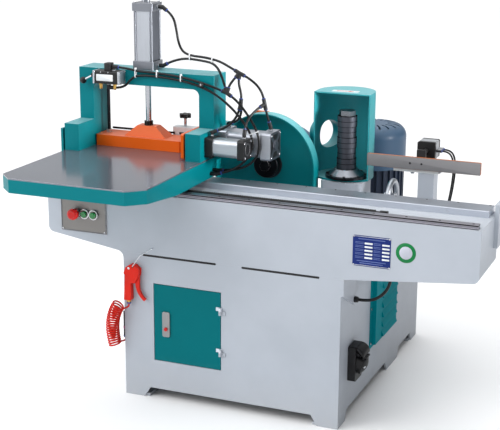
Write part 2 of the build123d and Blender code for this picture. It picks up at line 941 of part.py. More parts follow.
# Control panel with the collars of its three buttons
with BuildPart() as control_panel:
    panel_front = front - panel_thickness
    block(
        (panel_left, panel_left + panel_width),
        (panel_front, front),
        (panel_bottom, panel_bottom + panel_height),
    )
    estop_collar = (front - estop_collar_out, panel_front)
    bar("y", estop_collar, (estop_x, button_z), estop_stem_radius + collar_wall)
    bar("y", estop_collar, (estop_x, button_z), estop_stem_radius + slide_gap, Mode.SUBTRACT)
    for place in start_places:
        collar = (front - collar_out, panel_front)
        bar("y", collar, (place, button_z), start_radius + collar_wall)
        bar("y", collar, (place, button_z), start_radius + slide_gap, Mode.SUBTRACT)

with BuildPart() as estop_button:
    spot = (estop_x, button_z)
    head_front = front - estop_out
    bar("y", (head_front, head_front + estop_head), spot, estop_radius)
    fillet(estop_button.faces().sort_by(Axis.Y)[0].edges(), estop_head / 2)
    bar("y", (head_front + estop_head, front - collar_out), spot, estop_stem_radius)


def start_button(place):
    """A round push button in its collar."""
    with BuildPart() as button:
        bar("y", (front - start_out, front - start_out + start_length), (place, button_z), start_radius)
        chamfer(button.faces().sort_by(Axis.Y)[0].edges(), start_radius / 8)
    return button


start_button_left, start_button_right = [start_button(place) for place in start_places]


def saw_hood_profile(shrink, drop):
    """The arched outline of the saw hood, in by shrink and down by drop below the saw axis."""
    radius = saw_hood_radius - shrink
    ends = [(saw_x - radius, saw_z), (saw_x + radius, saw_z)]
    floor = [(saw_x + radius, saw_z - drop), (saw_x - radius, saw_z - drop)]
    with BuildSketch(Plane.XZ) as profile:
        with BuildLine():
            ThreePointArc(ends[0], (saw_x, saw_z + radius), ends[1])
            Polyline(ends[1], *floor, ends[0])
        make_face()
    return profile.sketch


# Saw unit: hood, bearing pedestal, arbor and motor
with BuildPart() as saw_hood:
    shell = saw_hood_profile(0, saw_hood_drop)
    extrude(shell.moved(Location((0, saw_hood_front, 0))), amount=-saw_hood_depth)
    space = saw_hood_profile(saw_hood_wall, saw_hood_drop)
    extrude(
        space.moved(Location((0, saw_hood_front, 0))),
        amount=-(saw_hood_depth - saw_hood_wall),
        mode=Mode.SUBTRACT,
    )
    bar("y", (saw_hood_back - saw_hood_wall, saw_hood_back), (saw_x, saw_z), saw_hole_radius, Mode.SUBTRACT)

with BuildPart() as saw_pedestal:
    column_x = (saw_x - saw_column / 2, saw_x + saw_column / 2)
    column_y = (saw_hood_back, saw_housing_end - saw_foot_thickness)
    foot_y = (column_y[0] - saw_foot_margin, column_y[1] + saw_foot_margin)
    foot_z = (cabinet_height, cabinet_height + saw_foot_thickness)
    block(column_x, column_y, (cabinet_height, saw_z))
    block((column_x[0] - saw_foot_margin, column_x[1] + saw_foot_margin), foot_y, foot_z)
    bar("y", (saw_hood_back, saw_housing_end), (saw_x, saw_z), saw_housing_radius)
    bar("y", (saw_hood_back, saw_housing_end), (saw_x, saw_z), saw_shaft_radius + fit_gap, Mode.SUBTRACT)

with BuildPart() as saw_flange:
    flange_front = saw_hood_front + saw_flange_inset
    flange_back = flange_front + saw_flange_thickness
    bar("y", (flange_front, flange_back), (saw_x, saw_z), saw_flange_radius)
    chamfer(saw_flange.edges(), saw_hood_wall / 2)
    bar("y", (flange_front, saw_housing_end - slide_gap), (saw_x, saw_z), saw_shaft_radius)
    with BuildSketch(Plane.XZ.offset(-flange_front)) as nut:
        with Locations((saw_x, saw_z)):
            RegularPolygon(saw_nut, 6)
    extrude(amount=saw_nut_thickness)

with BuildPart() as saw_motor:
    flange_end = saw_housing_end + saw_motor_flange_thickness
    body_end = flange_end + saw_motor_length
    bar("y", (saw_housing_end, flange_end), (saw_x, saw_z), saw_motor_flange)
    with BuildSketch(Plane.XZ.offset(-flange_end)) as finned:
        with Locations((saw_x, saw_z)):
            Circle(saw_motor_radius)
            with PolarLocations(saw_motor_radius, motor_fin_count):
                Rectangle(2 * motor_fin, motor_fin_thickness)
    extrude(amount=-saw_motor_length)
    cover_radius = saw_motor_radius + motor_fin + fan_cover_sheet
    bar("y", (body_end, body_end + saw_motor_cover), (saw_x, saw_z), cover_radius)
    fillet(saw_motor.faces().sort_by(Axis.Y)[-1].edges(), saw_cover_dome)

# Spindle base, quill, bearings and spindle
with BuildPart() as spindle_base:
    with BuildSketch(Plane.XY.offset(cabinet_height)) as column:
        with Locations((spindle_x, spindle_y)):
            RectangleRounded(base_width, base_depth, base_corner)
    extrude(amount=base_height)
    with BuildSketch(Plane.XY.offset(cabinet_height)) as foot:
        with Locations((spindle_x, spindle_y)):
            foot_size = (base_width + 2 * base_foot_margin, base_depth + 2 * base_foot_margin)
            RectangleRounded(*foot_size, base_corner)
    extrude(amount=base_foot_thickness)
    bar("z", (cabinet_height, base_top), (spindle_x, spindle_y), quill_radius + fit_gap, Mode.SUBTRACT)
    bar(
        "x",
        (spindle_x + quill_radius, spindle_x + base_width / 2),
        (spindle_y, handwheel_z),
        handwheel_shaft_radius + fit_gap,
        Mode.SUBTRACT,
    )

with BuildPart() as quill:
    spot = (spindle_x, spindle_y)
    bar("z", (quill_bottom, quill_top), spot, quill_radius)
    bar("z", (quill_top, quill_top + quill_plate), spot, quill_flange_radius)
    with Locations((*spot, quill_top + (quill_plate + quill_flange_thickness) / 2)):
        Cone(quill_cone_low, quill_cone_high, quill_flange_thickness - quill_plate)
    bar("z", (quill_bottom, quill_top), spot, quill_bore, Mode.SUBTRACT)
    flange_z = (quill_top, quill_top + quill_flange_thickness)
    bar("z", flange_z, spot, spindle_radius + collar_step, Mode.SUBTRACT)

with BuildPart() as spindle_bearings:
    for low in (quill_bottom + bearing_inset, quill_top - bearing_inset - bearing_height):
        bar("z", (low, low + bearing_height), (spindle_x, spindle_y), quill_bore)
        bearing_z = (low, low + bearing_height)
        bar("z", bearing_z, (spindle_x, spindle_y), spindle_radius + fit_gap, Mode.SUBTRACT)

with BuildPart() as spindle_shaft:
    spot = (spindle_x, spindle_y)
    bar("z", (spindle_pulley_bottom, collar_top), spot, spindle_radius)
    bar("z", (spindle_pulley_bottom, spindle_pulley_top), spot, spindle_pulley_radius)
    with BuildSketch(Plane.XY.offset(collar_top)) as nut:
        with Locations(spot):
            RegularPolygon(spindle_nut, 6)
    extrude(amount=spindle_nut_height)

with BuildPart() as spacer_collars:
    for ring in range(collar_count):
        low = collar_bottom + ring * collar_height
        outer = collar_radius - collar_step * (ring % 2)
        bar("z", (low, low + collar_height), (spindle_x, spindle_y), outer)
    bar("z", (collar_bottom, collar_top), (spindle_x, spindle_y), spindle_radius, Mode.SUBTRACT)


def cutter_hood_profile(shrink, reach, level):
    """The round-backed outline of the cutter hood, in by shrink and past its front by reach."""
    half = hood_half_width - shrink
    shoulder = hood_front + hood_straight
    ends = [(hood_x - half, shoulder), (hood_x + half, shoulder)]
    mouth = [(hood_x + half, hood_front - reach), (hood_x - half, hood_front - reach)]
    with BuildSketch(Plane.XY.offset(level)) as profile:
        with BuildLine():
            ThreePointArc(ends[0], (hood_x, shoulder + half), ends[1])
            Polyline(ends[1], *mouth, ends[0])
        make_face()
    return profile.sketch


# Cutter hood, open in front, with a round apron and a dust port
with BuildPart() as cutter_hood:
    extrude(cutter_hood_profile(0, 0, base_top), amount=hood_height)
    port_way = Vector(-sin(radians(port_angle)), cos(radians(port_angle)), 0)
    port_root = Vector(hood_x, hood_front + hood_straight, base_top + port_z)
    port_end = hood_half_width + port_length
    with BuildSketch(Plane(port_root, x_dir=(0, 0, 1), z_dir=port_way)) as stub:
        Circle(port_radius)
    extrude(amount=port_end)
    extrude(
        cutter_hood_profile(hood_wall, hood_wall, base_top + hood_floor),
        amount=hood_height - hood_floor - hood_wall,
        mode=Mode.SUBTRACT,
    )
    with BuildSketch(Plane(port_root, x_dir=(0, 0, 1), z_dir=port_way)) as bore:
        Circle(port_radius - hood_wall)
    extrude(amount=port_end, mode=Mode.SUBTRACT)
    with BuildSketch(Plane.XY.offset(base_top)) as apron:
        with BuildLine():
            edge = [(hood_x - hood_half_width, hood_front), (hood_x + hood_half_width, hood_front)]
            ThreePointArc(edge[0], (hood_x, hood_front - hood_apron), edge[1])
            Line(edge[1], edge[0])
        make_face()
    extrude(amount=hood_floor)
    hole = (spindle_x, spindle_y)
    bar("z", (base_top, base_top + hood_floor), hole, quill_radius + hole_gap, Mode.SUBTRACT)

# Main motor, standing on the cabinet with its shaft downwards
with BuildPart() as main_motor:
    with BuildSketch(Plane.XY.offset(cabinet_height)) as foot:
        with Locations((motor_x, motor_y)):
            RectangleRounded(motor_foot, motor_foot, base_corner)
    extrude(amount=motor_foot_thickness)
    with BuildSketch(Plane.XY.offset(motor_foot_top)) as finned:
        with Locations((motor_x, motor_y)):
            Circle(motor_radius - motor_fin)
            with PolarLocations(motor_radius - motor_fin, motor_fin_count):
                Rectangle(2 * motor_fin, motor_fin_thickness)
    extrude(amount=motor_body_height)
    box_z = (motor_foot_top + terminal_box_rise, motor_foot_top + terminal_box_rise + terminal_box_height)
    box_y = (motor_y + motor_radius - 2 * motor_fin, motor_y + motor_radius + terminal_box_depth)
    block((motor_x - terminal_box_width / 2, motor_x + terminal_box_width / 2), box_y, box_z)
    bore_top = cabinet_height + motor_shaft_length
    bar("z", (cabinet_height, bore_top), (motor_x, motor_y), motor_shaft_radius + fit_gap, Mode.SUBTRACT)

with BuildPart() as motor_fan_cover:
    cover_radius = motor_radius + fan_cover_sheet
    cover_top = motor_body_top + fan_cover_height
    spot = (motor_x, motor_y)
    bar("z", (motor_body_top, cover_top), spot, cover_radius)
    fillet(motor_fan_cover.faces().sort_by(Axis.Z)[-1].edges(), fan_cover_dome)
    offset(amount=-2 * fan_cover_sheet, openings=motor_fan_cover.faces().sort_by(Axis.Z)[0])
    with BuildSketch(Plane.XY.offset(cover_top - fan_cover_dome)) as slots:
        with Locations(spot):
            with PolarLocations(0.62 * cover_radius, fan_slot_count):
                SlotOverall(0.4 * cover_radius, fan_slot_width)
    extrude(amount=fan_cover_dome, mode=Mode.SUBTRACT)

with BuildPart() as motor_pulley:
    spot = (motor_x, motor_y)
    bar("z", (belt_bottom - pulley_margin, belt_top + pulley_margin), spot, motor_pulley_radius)
    shaft_top = cabinet_height + motor_shaft_length - slide_gap
    bar("z", (belt_bottom - pulley_margin, shaft_top), spot, motor_shaft_radius)


def belt_loop(grow):
    """The outline of a belt round both pulleys, grown outwards."""
    with BuildSketch(Plane.XY.offset(belt_bottom)) as loop:
        with Locations((spindle_x, spindle_y)):
            Circle(spindle_pulley_radius + grow)
        with Locations((motor_x, motor_y)):
            Circle(motor_pulley_radius + grow)
        make_hull()
    return loop.sketch


with BuildPart() as drive_belt:
    extrude(belt_loop(slide_gap + belt_thickness), amount=belt_width)
    extrude(belt_loop(slide_gap), amount=belt_width, mode=Mode.SUBTRACT)

# Handwheel of the quill lift
with BuildPart() as handwheel:
    rim_path = handwheel_radius - handwheel_rim
    with BuildSketch(Plane.XY.offset(handwheel_z)) as rim:
        with Locations((handwheel_x, spindle_y + rim_path)):
            Circle(handwheel_rim)
    revolve(axis=Axis((handwheel_x, spindle_y, handwheel_z), (1, 0, 0)))
    hub = (handwheel_x - handwheel_hub_length, handwheel_x + handwheel_rim)
    bar("x", hub, (spindle_y, handwheel_z), handwheel_hub_radius)
    for spoke in range(handwheel_spokes):
        turn = 360 * spoke / handwheel_spokes
        with BuildSketch(Plane.YZ.offset(handwheel_x - handwheel_rim / 2)) as arm:
            with Locations(Location((spindle_y, handwheel_z), turn)):
                Rectangle(rim_path, handwheel_spoke, align=(Align.MIN, Align.CENTER))
        extrude(amount=handwheel_rim)
    shaft_start = spindle_x + base_width / 2 - handwheel_shaft_inset
    bar("x", (shaft_start, handwheel_x), (spindle_y, handwheel_z), handwheel_shaft_radius)

# Length stop: arm and post, cylinder and sliding plate
with BuildPart() as stop_post:
    arm_y = (stop_post_y, stop_post_y + stop_post_depth)
    post_right = stop_post_x + stop_post_width
    arm_x = (stop_arm_left, post_right + stop_arm_over)
    block(arm_x, arm_y, (cabinet_height, cabinet_height + stop_arm_height))
    bracket_z = (stop_bracket_top - stop_bracket_thickness, stop_bracket_top)
    block((stop_post_x, post_right), arm_y, (cabinet_height, bracket_z[0]))
    bracket_y = (stop_post_y, stop_cylinder_y + stop_cylinder_length)
    block((stop_bracket_left, stop_bracket_left + stop_bracket_width), bracket_y, bracket_z)
    cradle_x = (stop_cylinder_x - stop_cylinder_size / 3, stop_cylinder_x + stop_cylinder_size / 3)
    cradle_y = (stop_cylinder_y, stop_cylinder_y + stop_cylinder_length)
    block(cradle_x, cradle_y, (stop_bracket_top, stop_cylinder_bottom))

with BuildPart() as stop_cylinder:
    half = stop_cylinder_size / 2
    cylinder_z = (stop_cylinder_bottom, stop_cylinder_bottom + stop_cylinder_size)
    cylinder_y = (stop_cylinder_y, stop_cylinder_y + stop_cylinder_length)
    block((stop_cylinder_x - half, stop_cylinder_x + half), cylinder_y, cylinder_z)
    fillet(stop_cylinder.edges().filter_by(Axis.Y), half / 5)
    bar("y", cylinder_y, (stop_cylinder_x, stop_rod_z), stop_rod_radius + fit_gap, Mode.SUBTRACT)
    for place in stop_ports:
        port_y = stop_cylinder_y + place * stop_cylinder_length
        port_x = (stop_cylinder_x + half, stop_cylinder_x + half + socket_reach)
        bar("x", port_x, (port_y, stop_rod_z), socket_radius)

with BuildPart() as stop_plate:
    plate_z = (stop_bottom, stop_bottom + stop_plate_height)
    block((stop_left, stop_left + stop_width), (stop_front, stop_plate_back), plate_z)
    fillet(stop_plate.edges().filter_by(Axis.Y), stop_plate_thickness / 3)
    lug_x = (stop_cylinder_x - stop_lug_width / 2, stop_cylinder_x + stop_lug_width / 2)
    lug_back = stop_plate_back + stop_lug_thickness
    block(lug_x, (stop_plate_back, lug_back), (plate_z[0], stop_rod_z + stop_lug_width / 2))
    rod_end = stop_cylinder_y + stop_cylinder_length - stop_stroke - slide_gap
    bar("y", (lug_back, rod_end), (stop_cylinder_x, stop_rod_z), stop_rod_radius)


def table_outline(level):
    """The table's outline with its two cut front corners."""
    with BuildSketch(Plane.XY.offset(level)) as outline:
        with BuildLine():
            Polyline(
                (table_left, table_rear),
                (table_left, table_front + table_corner_y),
                (table_left + table_corner_x, table_front),
                (table_right - table_corner_x, table_front),
                (table_right, table_front + table_corner_y),
                (table_right, table_rear),
                close=True,
            )
        make_face()
    return outline.sketch


# Sliding table: top sheet, frame with its skirt and saddles, bearings
with BuildPart() as table_top:
    extrude(table_outline(deck_plate_top), amount=table_sheet)

with BuildPart() as table_frame:
    extrude(table_outline(skirt_bottom), amount=deck_plate_top - skirt_bottom)
    inner = offset(table_outline(skirt_bottom), amount=-skirt_wall, mode=Mode.PRIVATE)
    extrude(inner, amount=deck_plate_bottom - skirt_bottom, mode=Mode.SUBTRACT)
    skirt_z = (skirt_bottom, deck_plate_bottom)
    block((table_left, table_right), (skirt_end, table_rear), skirt_z, Mode.SUBTRACT)
    skirt_front_bottom = table_height - skirt_front_depth
    prism_x(
        [
            (table_front, skirt_bottom),
            (table_front, skirt_front_bottom),
            (skirt_slope_front, skirt_front_bottom),
            (skirt_slope_rear, skirt_bottom),
        ],
        (table_left, table_right),
        Mode.SUBTRACT,
    )
    saddle_x = (table_left + saddle_margin, table_right - saddle_margin)
    saddle_z = (saddle_bottom, deck_plate_bottom)
    rail_middle = (rail_front + rail_back) / 2
    block(saddle_x, (rail_middle - saddle_front_depth / 2, rail_middle + saddle_front_depth / 2), saddle_z)
    block(saddle_x, (way_front, way_back), saddle_z)

with BuildPart() as carriage_bearings:
    near = saddle_x[0] + bearing_block_inset
    far = saddle_x[1] - bearing_block_inset
    for start, end in ((near, near + bearing_block_length), (far - bearing_block_length, far)):
        block_y = (rail_middle - bearing_block_width / 2, rail_middle + bearing_block_width / 2)
        block((start, end), block_y, (deck + bearing_block_lift, saddle_bottom))
        slot_y = (rail_front - slide_gap, rail_back + slide_gap)
        block((start, end), slot_y, (deck + bearing_block_lift, rail_top + slide_gap), Mode.SUBTRACT)
        shoe_y = (way_front + shoe_margin, way_back - shoe_margin)
        block((start, end), shoe_y, (way_top + slide_gap, saddle_bottom))

# Press gantry on the table
with BuildPart() as gantry:
    post_back = post_front + post_depth
    for near, far, rear in ((table_left, inner_left, post_back), (inner_right, table_right, table_rear)):
        block((near, far), (foot_front, rear), (table_height, foot_top))
    with BuildSketch(Plane.XZ.offset(-post_front)) as portal:
        with BuildLine():
            Polyline(
                (table_left, foot_top),
                (table_left, beam_top),
                (table_right, beam_top),
                (table_right, foot_top),
                (inner_right, foot_top),
                (inner_right, beam_bottom),
                (inner_left, beam_bottom),
                (inner_left, foot_top),
                close=True,
            )
        make_face()
        fillet(portal.vertices().group_by(Axis.Y)[1], beam_corner)
    extrude(amount=-post_depth)
    bar("z", (beam_bottom, beam_top), (press_x, press_y), press_rod_radius + fit_gap, Mode.SUBTRACT)
    bar("z", (beam_bottom, beam_top), (guide_rod_x, press_y), guide_rod_radius + fit_gap, Mode.SUBTRACT)
    for axis_y in (front_clamp_y, rear_clamp_y):
        bar("x", (inner_right, table_right), (axis_y, clamp_z), clamp_rod_radius + fit_gap, Mode.SUBTRACT)
    plate_right = table_left - side_plate_gap
    plate_x = (plate_right - side_plate_thickness, plate_right)
    plate_y = (foot_front, post_front)
    block(plate_x, plate_y, (side_plate_bottom, side_plate_bottom + side_plate_height))
    for place in (0.2, 0.8):
        spacer_y = foot_front + place * (post_front - foot_front)
        spacer_z = side_plate_bottom + 0.6 * side_plate_height
        bar("x", (plate_right, table_left), (spacer_y, spacer_z), side_plate_spacer)

# Press cylinder
with BuildPart() as press_cylinder_ends:
    spot = (press_x, press_y)
    square_bar("z", (beam_top, press_barrel_bottom), spot, press_cap, press_nub / 2)
    square_bar("z", (press_barrel_top, press_barrel_top + press_top_cap), spot, press_cap, press_nub / 2)
    cap_top = press_barrel_top + press_top_cap
    bar("z", (cap_top, cap_top + press_nub), spot, press_rod_radius)
    bar("z", (beam_top, press_barrel_bottom), spot, press_rod_radius + fit_gap, Mode.SUBTRACT)
    tie = press_cap / 2 - tie_rod_inset
    for tie_x in (press_x - tie, press_x + tie):
        for tie_y in (press_y - tie, press_y + tie):
            bar("z", (press_barrel_bottom, press_barrel_top), (tie_x, tie_y), tie_rod_radius)

with BuildPart() as press_cylinder_barrel:
    spot = (press_x, press_y)
    barrel_z = (press_barrel_bottom, press_barrel_top)
    square_bar("z", barrel_z, spot, press_barrel, press_barrel_corner)
    bar("z", barrel_z, spot, press_bore, Mode.SUBTRACT)
    notch = press_cap / 2 - tie_rod_inset
    for notch_x in (press_x - notch, press_x + notch):
        for notch_y in (press_y - notch, press_y + notch):
            bar("z", barrel_z, (notch_x, notch_y), tie_rod_radius + hole_gap, Mode.SUBTRACT)

with BuildPart() as press_rod:
    spot = (press_x, press_y)
    piston_bottom = press_barrel_bottom + press_nub / 2
    bar("z", (hump_top, piston_bottom), spot, press_rod_radius)
    bar("z", (hump_top, hump_top + press_collar_height), spot, press_collar_radius)
    bar("z", (piston_bottom, piston_bottom + press_piston), spot, press_bore - fit_gap)

with BuildPart() as press_beam:
    block(
        (press_beam_left, press_beam_left + press_beam_width),
        (press_beam_front, press_beam_front + press_beam_depth),
        (press_beam_bottom, press_beam_top),
    )
    chamfer(press_beam.edges().filter_by(Axis.Z), tie_rod_radius)
    with BuildSketch(Plane.XY.offset(press_beam_top)) as hump_base:
        with Locations((press_x, press_y)):
            Rectangle(hump_base_width, hump_base_depth)
    with BuildSketch(Plane.XY.offset(hump_top)) as hump_crown:
        with Locations((press_x, press_y)):
            Rectangle(hump_top_width, hump_top_depth)
    loft()

with BuildPart() as guide_rod:
    spot = (guide_rod_x, press_y)
    bar("z", (press_beam_top, beam_top), spot, guide_rod_radius)
    with BuildSketch(Plane.XY.offset(press_beam_top)) as nut:
        with Locations(spot):
            RegularPolygon(2 * guide_rod_radius, 6)
    extrude(amount=2 * guide_rod_radius)

# Side clamp cylinders and the plate that they push
front_near = table_right + front_clamp_near_cap
front_far = front_near + front_clamp_barrel
rear_near = table_right + rear_clamp_near_cap
rear_far = rear_near + rear_clamp_barrel
with BuildPart() as front_clamp_caps:
    spot = (front_clamp_y, clamp_z)
    square_bar("x", (table_right, front_near), spot, front_clamp_cap, clamp_rod_radius)
    square_bar("x", (front_far, front_far + front_clamp_far_cap), spot, front_clamp_cap, clamp_rod_radius)
    bar("x", (table_right, front_near), spot, clamp_rod_radius + fit_gap, Mode.SUBTRACT)

with BuildPart() as front_clamp_barrel_tube:
    spot = (front_clamp_y, clamp_z)
    square_bar("x", (front_near, front_far), spot, front_clamp_tube, 2 * clamp_rod_radius)
    bar("x", (front_near, front_far), spot, front_clamp_bore, Mode.SUBTRACT)

with BuildPart() as rear_clamp_cylinder:
    spot = (rear_clamp_y, clamp_z)
    end = rear_far + rear_clamp_far_cap
    square_bar("x", (table_right, rear_near), spot, rear_clamp_cap, clamp_rod_radius)
    square_bar("x", (rear_near, rear_far), spot, rear_clamp_tube, 2 * clamp_rod_radius)
    square_bar("x", (rear_far, end), spot, rear_clamp_cap, clamp_rod_radius)
    bar("x", (end, end + clamp_boss_height), spot, rear_clamp_boss)
    bar("x", (rear_near, rear_far), spot, rear_clamp_bore, Mode.SUBTRACT)
    bar("x", (table_right, rear_near), spot, clamp_rod_radius + fit_gap, Mode.SUBTRACT)

with BuildPart() as side_clamp:
    block(
        (clamp_back - clamp_thickness, clamp_back),
        (clamp_front, clamp_front + clamp_depth),
        (table_height + clamp_lift, table_height + clamp_lift + clamp_height),
    )
    chamfer(side_clamp.edges().filter_by(Axis.X), tie_rod_radius)
    stroke_room = clamp_travel + clamp_piston + clamp_rod_radius
    air_cylinder_rod(front_clamp_y, clamp_back, front_clamp_bore, front_near + stroke_room)
    air_cylinder_rod(rear_clamp_y, clamp_back, rear_clamp_bore, rear_near + stroke_room)

# Hand valve with its lever
with BuildPart() as valve_body:
    valve_right = valve_left + valve_width
    valve_front = valve_back - valve_depth
    block((valve_left, valve_right), (valve_front, valve_back), (valve_bottom, valve_top))
    fillet(valve_body.edges().filter_by(Axis.X), valve_cheek)
    block((valve_left - valve_end_plate, valve_left), (valve_front, valve_back), (valve_bottom, valve_top))
    end_y = (valve_front, valve_back)
    block((valve_right, valve_right + valve_end_plate), end_y, (valve_bottom, valve_top))
    inner_cheek = valve_fork_gap / 2 + slide_gap
    for side in (-1, 1):
        cheek = sorted((valve_y + side * inner_cheek, valve_y + side * (inner_cheek + valve_cheek)))
        block((lever_x, valve_left - valve_end_plate), cheek, (lever_z - lever_boss, lever_z + lever_boss))
        bar("y", cheek, (lever_x, lever_z), lever_boss)
    bar("y", (valve_y - inner_cheek, valve_y + inner_cheek), (lever_x, lever_z), lever_pin_radius)

with BuildPart() as valve_lever:
    fork_y = (valve_y - valve_fork_gap / 2, valve_y + valve_fork_gap / 2)
    bar("y", fork_y, (lever_x, lever_z), lever_boss - slide_gap)
    lever_length = sqrt(lever_reach_x**2 + lever_drop**2) - lever_ball / 2
    lever_centre = (lever_x, valve_y, lever_z)
    ball_centre = (lever_x - lever_reach_x, valve_y, lever_z - lever_drop)
    socket(lever_centre, ball_centre, lever_radius, lever_length)
    with Locations(Plane(ball_centre, z_dir=unit(ball_centre, lever_centre))):
        Sphere(lever_ball)
    bar("y", fork_y, (lever_x, lever_z), lever_pin_radius + fit_gap, Mode.SUBTRACT)

# Work fence with its star knob
with BuildPart() as fence_block:
    block(
        (fence_left, fence_left + fence_width),
        (fence_front, fence_front + fence_depth),
        (table_height, fence_top),
    )
    fillet(fence_block.edges().filter_by(Axis.Z), knob_stem_radius)
    hole_z = (fence_top - knob_lift, fence_top)
    bar("z", hole_z, (knob_x, knob_y), knob_stem_radius + fit_gap, Mode.SUBTRACT)

with BuildPart() as star_knob:
    spot = (knob_x, knob_y)
    head_bottom = fence_top + knob_lift
    bar("z", (fence_top - knob_lift + slide_gap, head_bottom), spot, knob_stem_radius)
    with BuildSketch(Plane.XY.offset(head_bottom)) as star:
        with Locations(spot):
            Circle(knob_radius - knob_lobe_radius)
            with PolarLocations(knob_radius - knob_lobe_radius, knob_lobes):
                Circle(knob_lobe_radius)
    extrude(amount=knob_height)

# Fittings of the air system, each at its core point
valve_out = (valve_left + valve_out_inset, valve_y, valve_top + fitting_rise)
valve_low = (valve_left + valve_low_inset, valve_y, valve_bottom - fitting_rise)
press_low_port = (press_x + press_cap / 2 + fitting_out, press_y, beam_top + press_low_cap / 2)
press_top_port = (press_x + press_cap / 2 + fitting_out, press_y, press_barrel_top + press_top_cap / 2)
front_fitting_z = clamp_z + front_clamp_cap / 2 + fitting_rise
rear_fitting_z = clamp_z + rear_clamp_cap / 2 + fitting_rise
front_elbow = (table_right + front_clamp_near_cap / 2, front_clamp_y, front_fitting_z)
front_port = (front_far + front_clamp_far_cap / 2, front_clamp_y, front_fitting_z)
rear_elbow = (rear_near - rear_clamp_near_cap / 4, rear_clamp_y, rear_fitting_z)
rear_port = (rear_far + rear_clamp_far_cap / 2, rear_clamp_y, rear_fitting_z)
bulkhead_near = (table_right + fitting_out, table_rear - bulkhead_leads[0], saddle_bottom - bulkhead_step)
bulkhead_far = (table_right + fitting_out, table_rear - bulkhead_leads[1], saddle_bottom + bulkhead_step)
first_tee = from_corner(45, -149, 213)
second_tee = from_corner(81, -129, 277)
third_tee = from_corner(89, -137, 177)
fourth_tee = from_corner(163, -113, 179)

# Routes of the air lines, from fitting to fitting, with points from the table's right rear corner
air_routes = {
    "valve to first tee": (
        valve_out,
        [
            (-307, -168, 274), (-267, -163, 265.5), (-200, -161, 264.5), (-117, -161, 257.5),
            (-55, -161, 246), (2, -158, 231),
        ],
        first_tee,
    ),
    "valve to near bulkhead": (
        valve_low,
        [
            (-321, -167, 207), (-295, -164, 239), (-270, -162, 253), (-200, -161, 253.5),
            (-117, -161, 246), (-55, -161, 234), (7, -160, 211), (70, -156, 164),
            (121, -153, 105), (144, -153, 53), (123, -159, 2), (75, -169, -38),
        ],
        bulkhead_near,
    ),
    "first tee to far bulkhead": (
        first_tee,
        [
            (79, -149, 192), (117, -150, 150), (151, -152, 102), (165, -153, 49), (147, -153, -3),
            (95, -156, -36),
        ],
        bulkhead_far,
    ),
    "first tee to second tee": (first_tee, [(53, -139, 245)], second_tee),
    "second tee to third tee": (second_tee, [(79, -132, 243), (91, -135, 210)], third_tee),
    "third tee to front elbow": (
        third_tee,
        [(81, -149, 135), (53, -178, 103)],
        front_elbow,
    ),
    "third tee to rear elbow": (third_tee, [(87, -125, 145), (67, -111, 115)], rear_elbow),
    "second tee to fourth tee": (
        second_tee,
        [(111, -125, 263), (141, -119, 239), (157, -115, 211)],
        fourth_tee,
    ),
    "fourth tee to front port": (
        fourth_tee,
        [(147, -131, 167), (132, -157, 147), (126, -183, 123)],
        front_port,
    ),
    "fourth tee to rear port": (fourth_tee, [(169, -107, 143)], rear_port),
    "press top to second tee": (
        press_top_port,
        [
            (-166, -104, 447), (-154, -106, 402), (-147, -108, 362), (-130, -111, 331),
            (-95, -115, 321), (-50, -118, 320), (5, -123, 312), (45, -127, 295),
        ],
        second_tee,
    ),
    "press bottom to first tee": (
        press_low_port,
        [
            (-173, -105, 297), (-131, -110, 309), (-101, -114, 311), (-50, -122, 308),
            (-7, -130, 303), (21, -139, 273),
        ],
        first_tee,
    ),
}
fitting_stems = [
    (valve_out, (valve_out[0], valve_y, valve_top)),
    (valve_low, (valve_low[0], valve_y, valve_bottom)),
    (press_low_port, (press_x + press_cap / 2, press_y, press_low_port[2])),
    (press_top_port, (press_x + press_cap / 2, press_y, press_top_port[2])),
    (front_elbow, (front_elbow[0], front_clamp_y, clamp_z + front_clamp_cap / 2)),
    (front_port, (front_port[0], front_clamp_y, clamp_z + front_clamp_cap / 2)),
    (rear_elbow, (rear_elbow[0], rear_clamp_y, clamp_z + rear_clamp_cap / 2)),
    (rear_port, (rear_port[0], rear_clamp_y, clamp_z + rear_clamp_cap / 2)),
    (bulkhead_near, (table_right, bulkhead_near[1], bulkhead_near[2])),
    (bulkhead_far, (table_right, bulkhead_far[1], bulkhead_far[2])),
]

with BuildPart() as air_fittings:
    for start, points, end in air_routes.values():
        socket(start, from_corner(*points[0]))
        socket(end, from_corner(*points[-1]))
    for core, seat in fitting_stems:
        socket(core, seat, reach=(Vector(*seat) - Vector(*core)).length)

with BuildPart() as air_lines:
    for name, (start, points, end) in air_routes.items():
        way = [from_corner(*point) for point in points]
        hose(line_points(start, way, end), line_radius, name)

# Lines that stay with the frame, and their glands
gland_x = right + cover_thickness
gland_y = front + cover_depth - 18
gland_z = cabinet_height - 0.8 * cover_rear_drop
cable_start = gland_x + gland_length
cable_run = boss_x - cable_start
cable_rise = boss_bottom - gland_length - gland_z
stop_port_x = stop_cylinder_x + stop_cylinder_size / 2 + socket_reach
stop_seat_x = stop_post_x + stop_post_width + stop_arm_over / 2
stop_seat_z = cabinet_height + stop_arm_height
stop_seats = [spindle_y - lead for lead in stop_seat_leads]
stop_routes = []
for seat_y, place in zip(stop_seats, stop_ports):
    port_y = stop_cylinder_y + place * stop_cylinder_length
    stop_routes.append(
        [
            (stop_port_x, port_y, stop_rod_z),
            (stop_port_x + 22, port_y, stop_rod_z),
            (stop_port_x + 40, port_y - 5, stop_rod_z - 21),
            (stop_port_x + 46, port_y - 16, stop_rod_z - 64),
            (stop_port_x + 44, port_y - 30, stop_rod_z - 118),
            (stop_port_x + 38, port_y - 46, stop_rod_z - 172),
            (stop_seat_x, seat_y, stop_seat_z + 50),
            (stop_seat_x, seat_y, stop_seat_z + gland_length),
        ]
    )
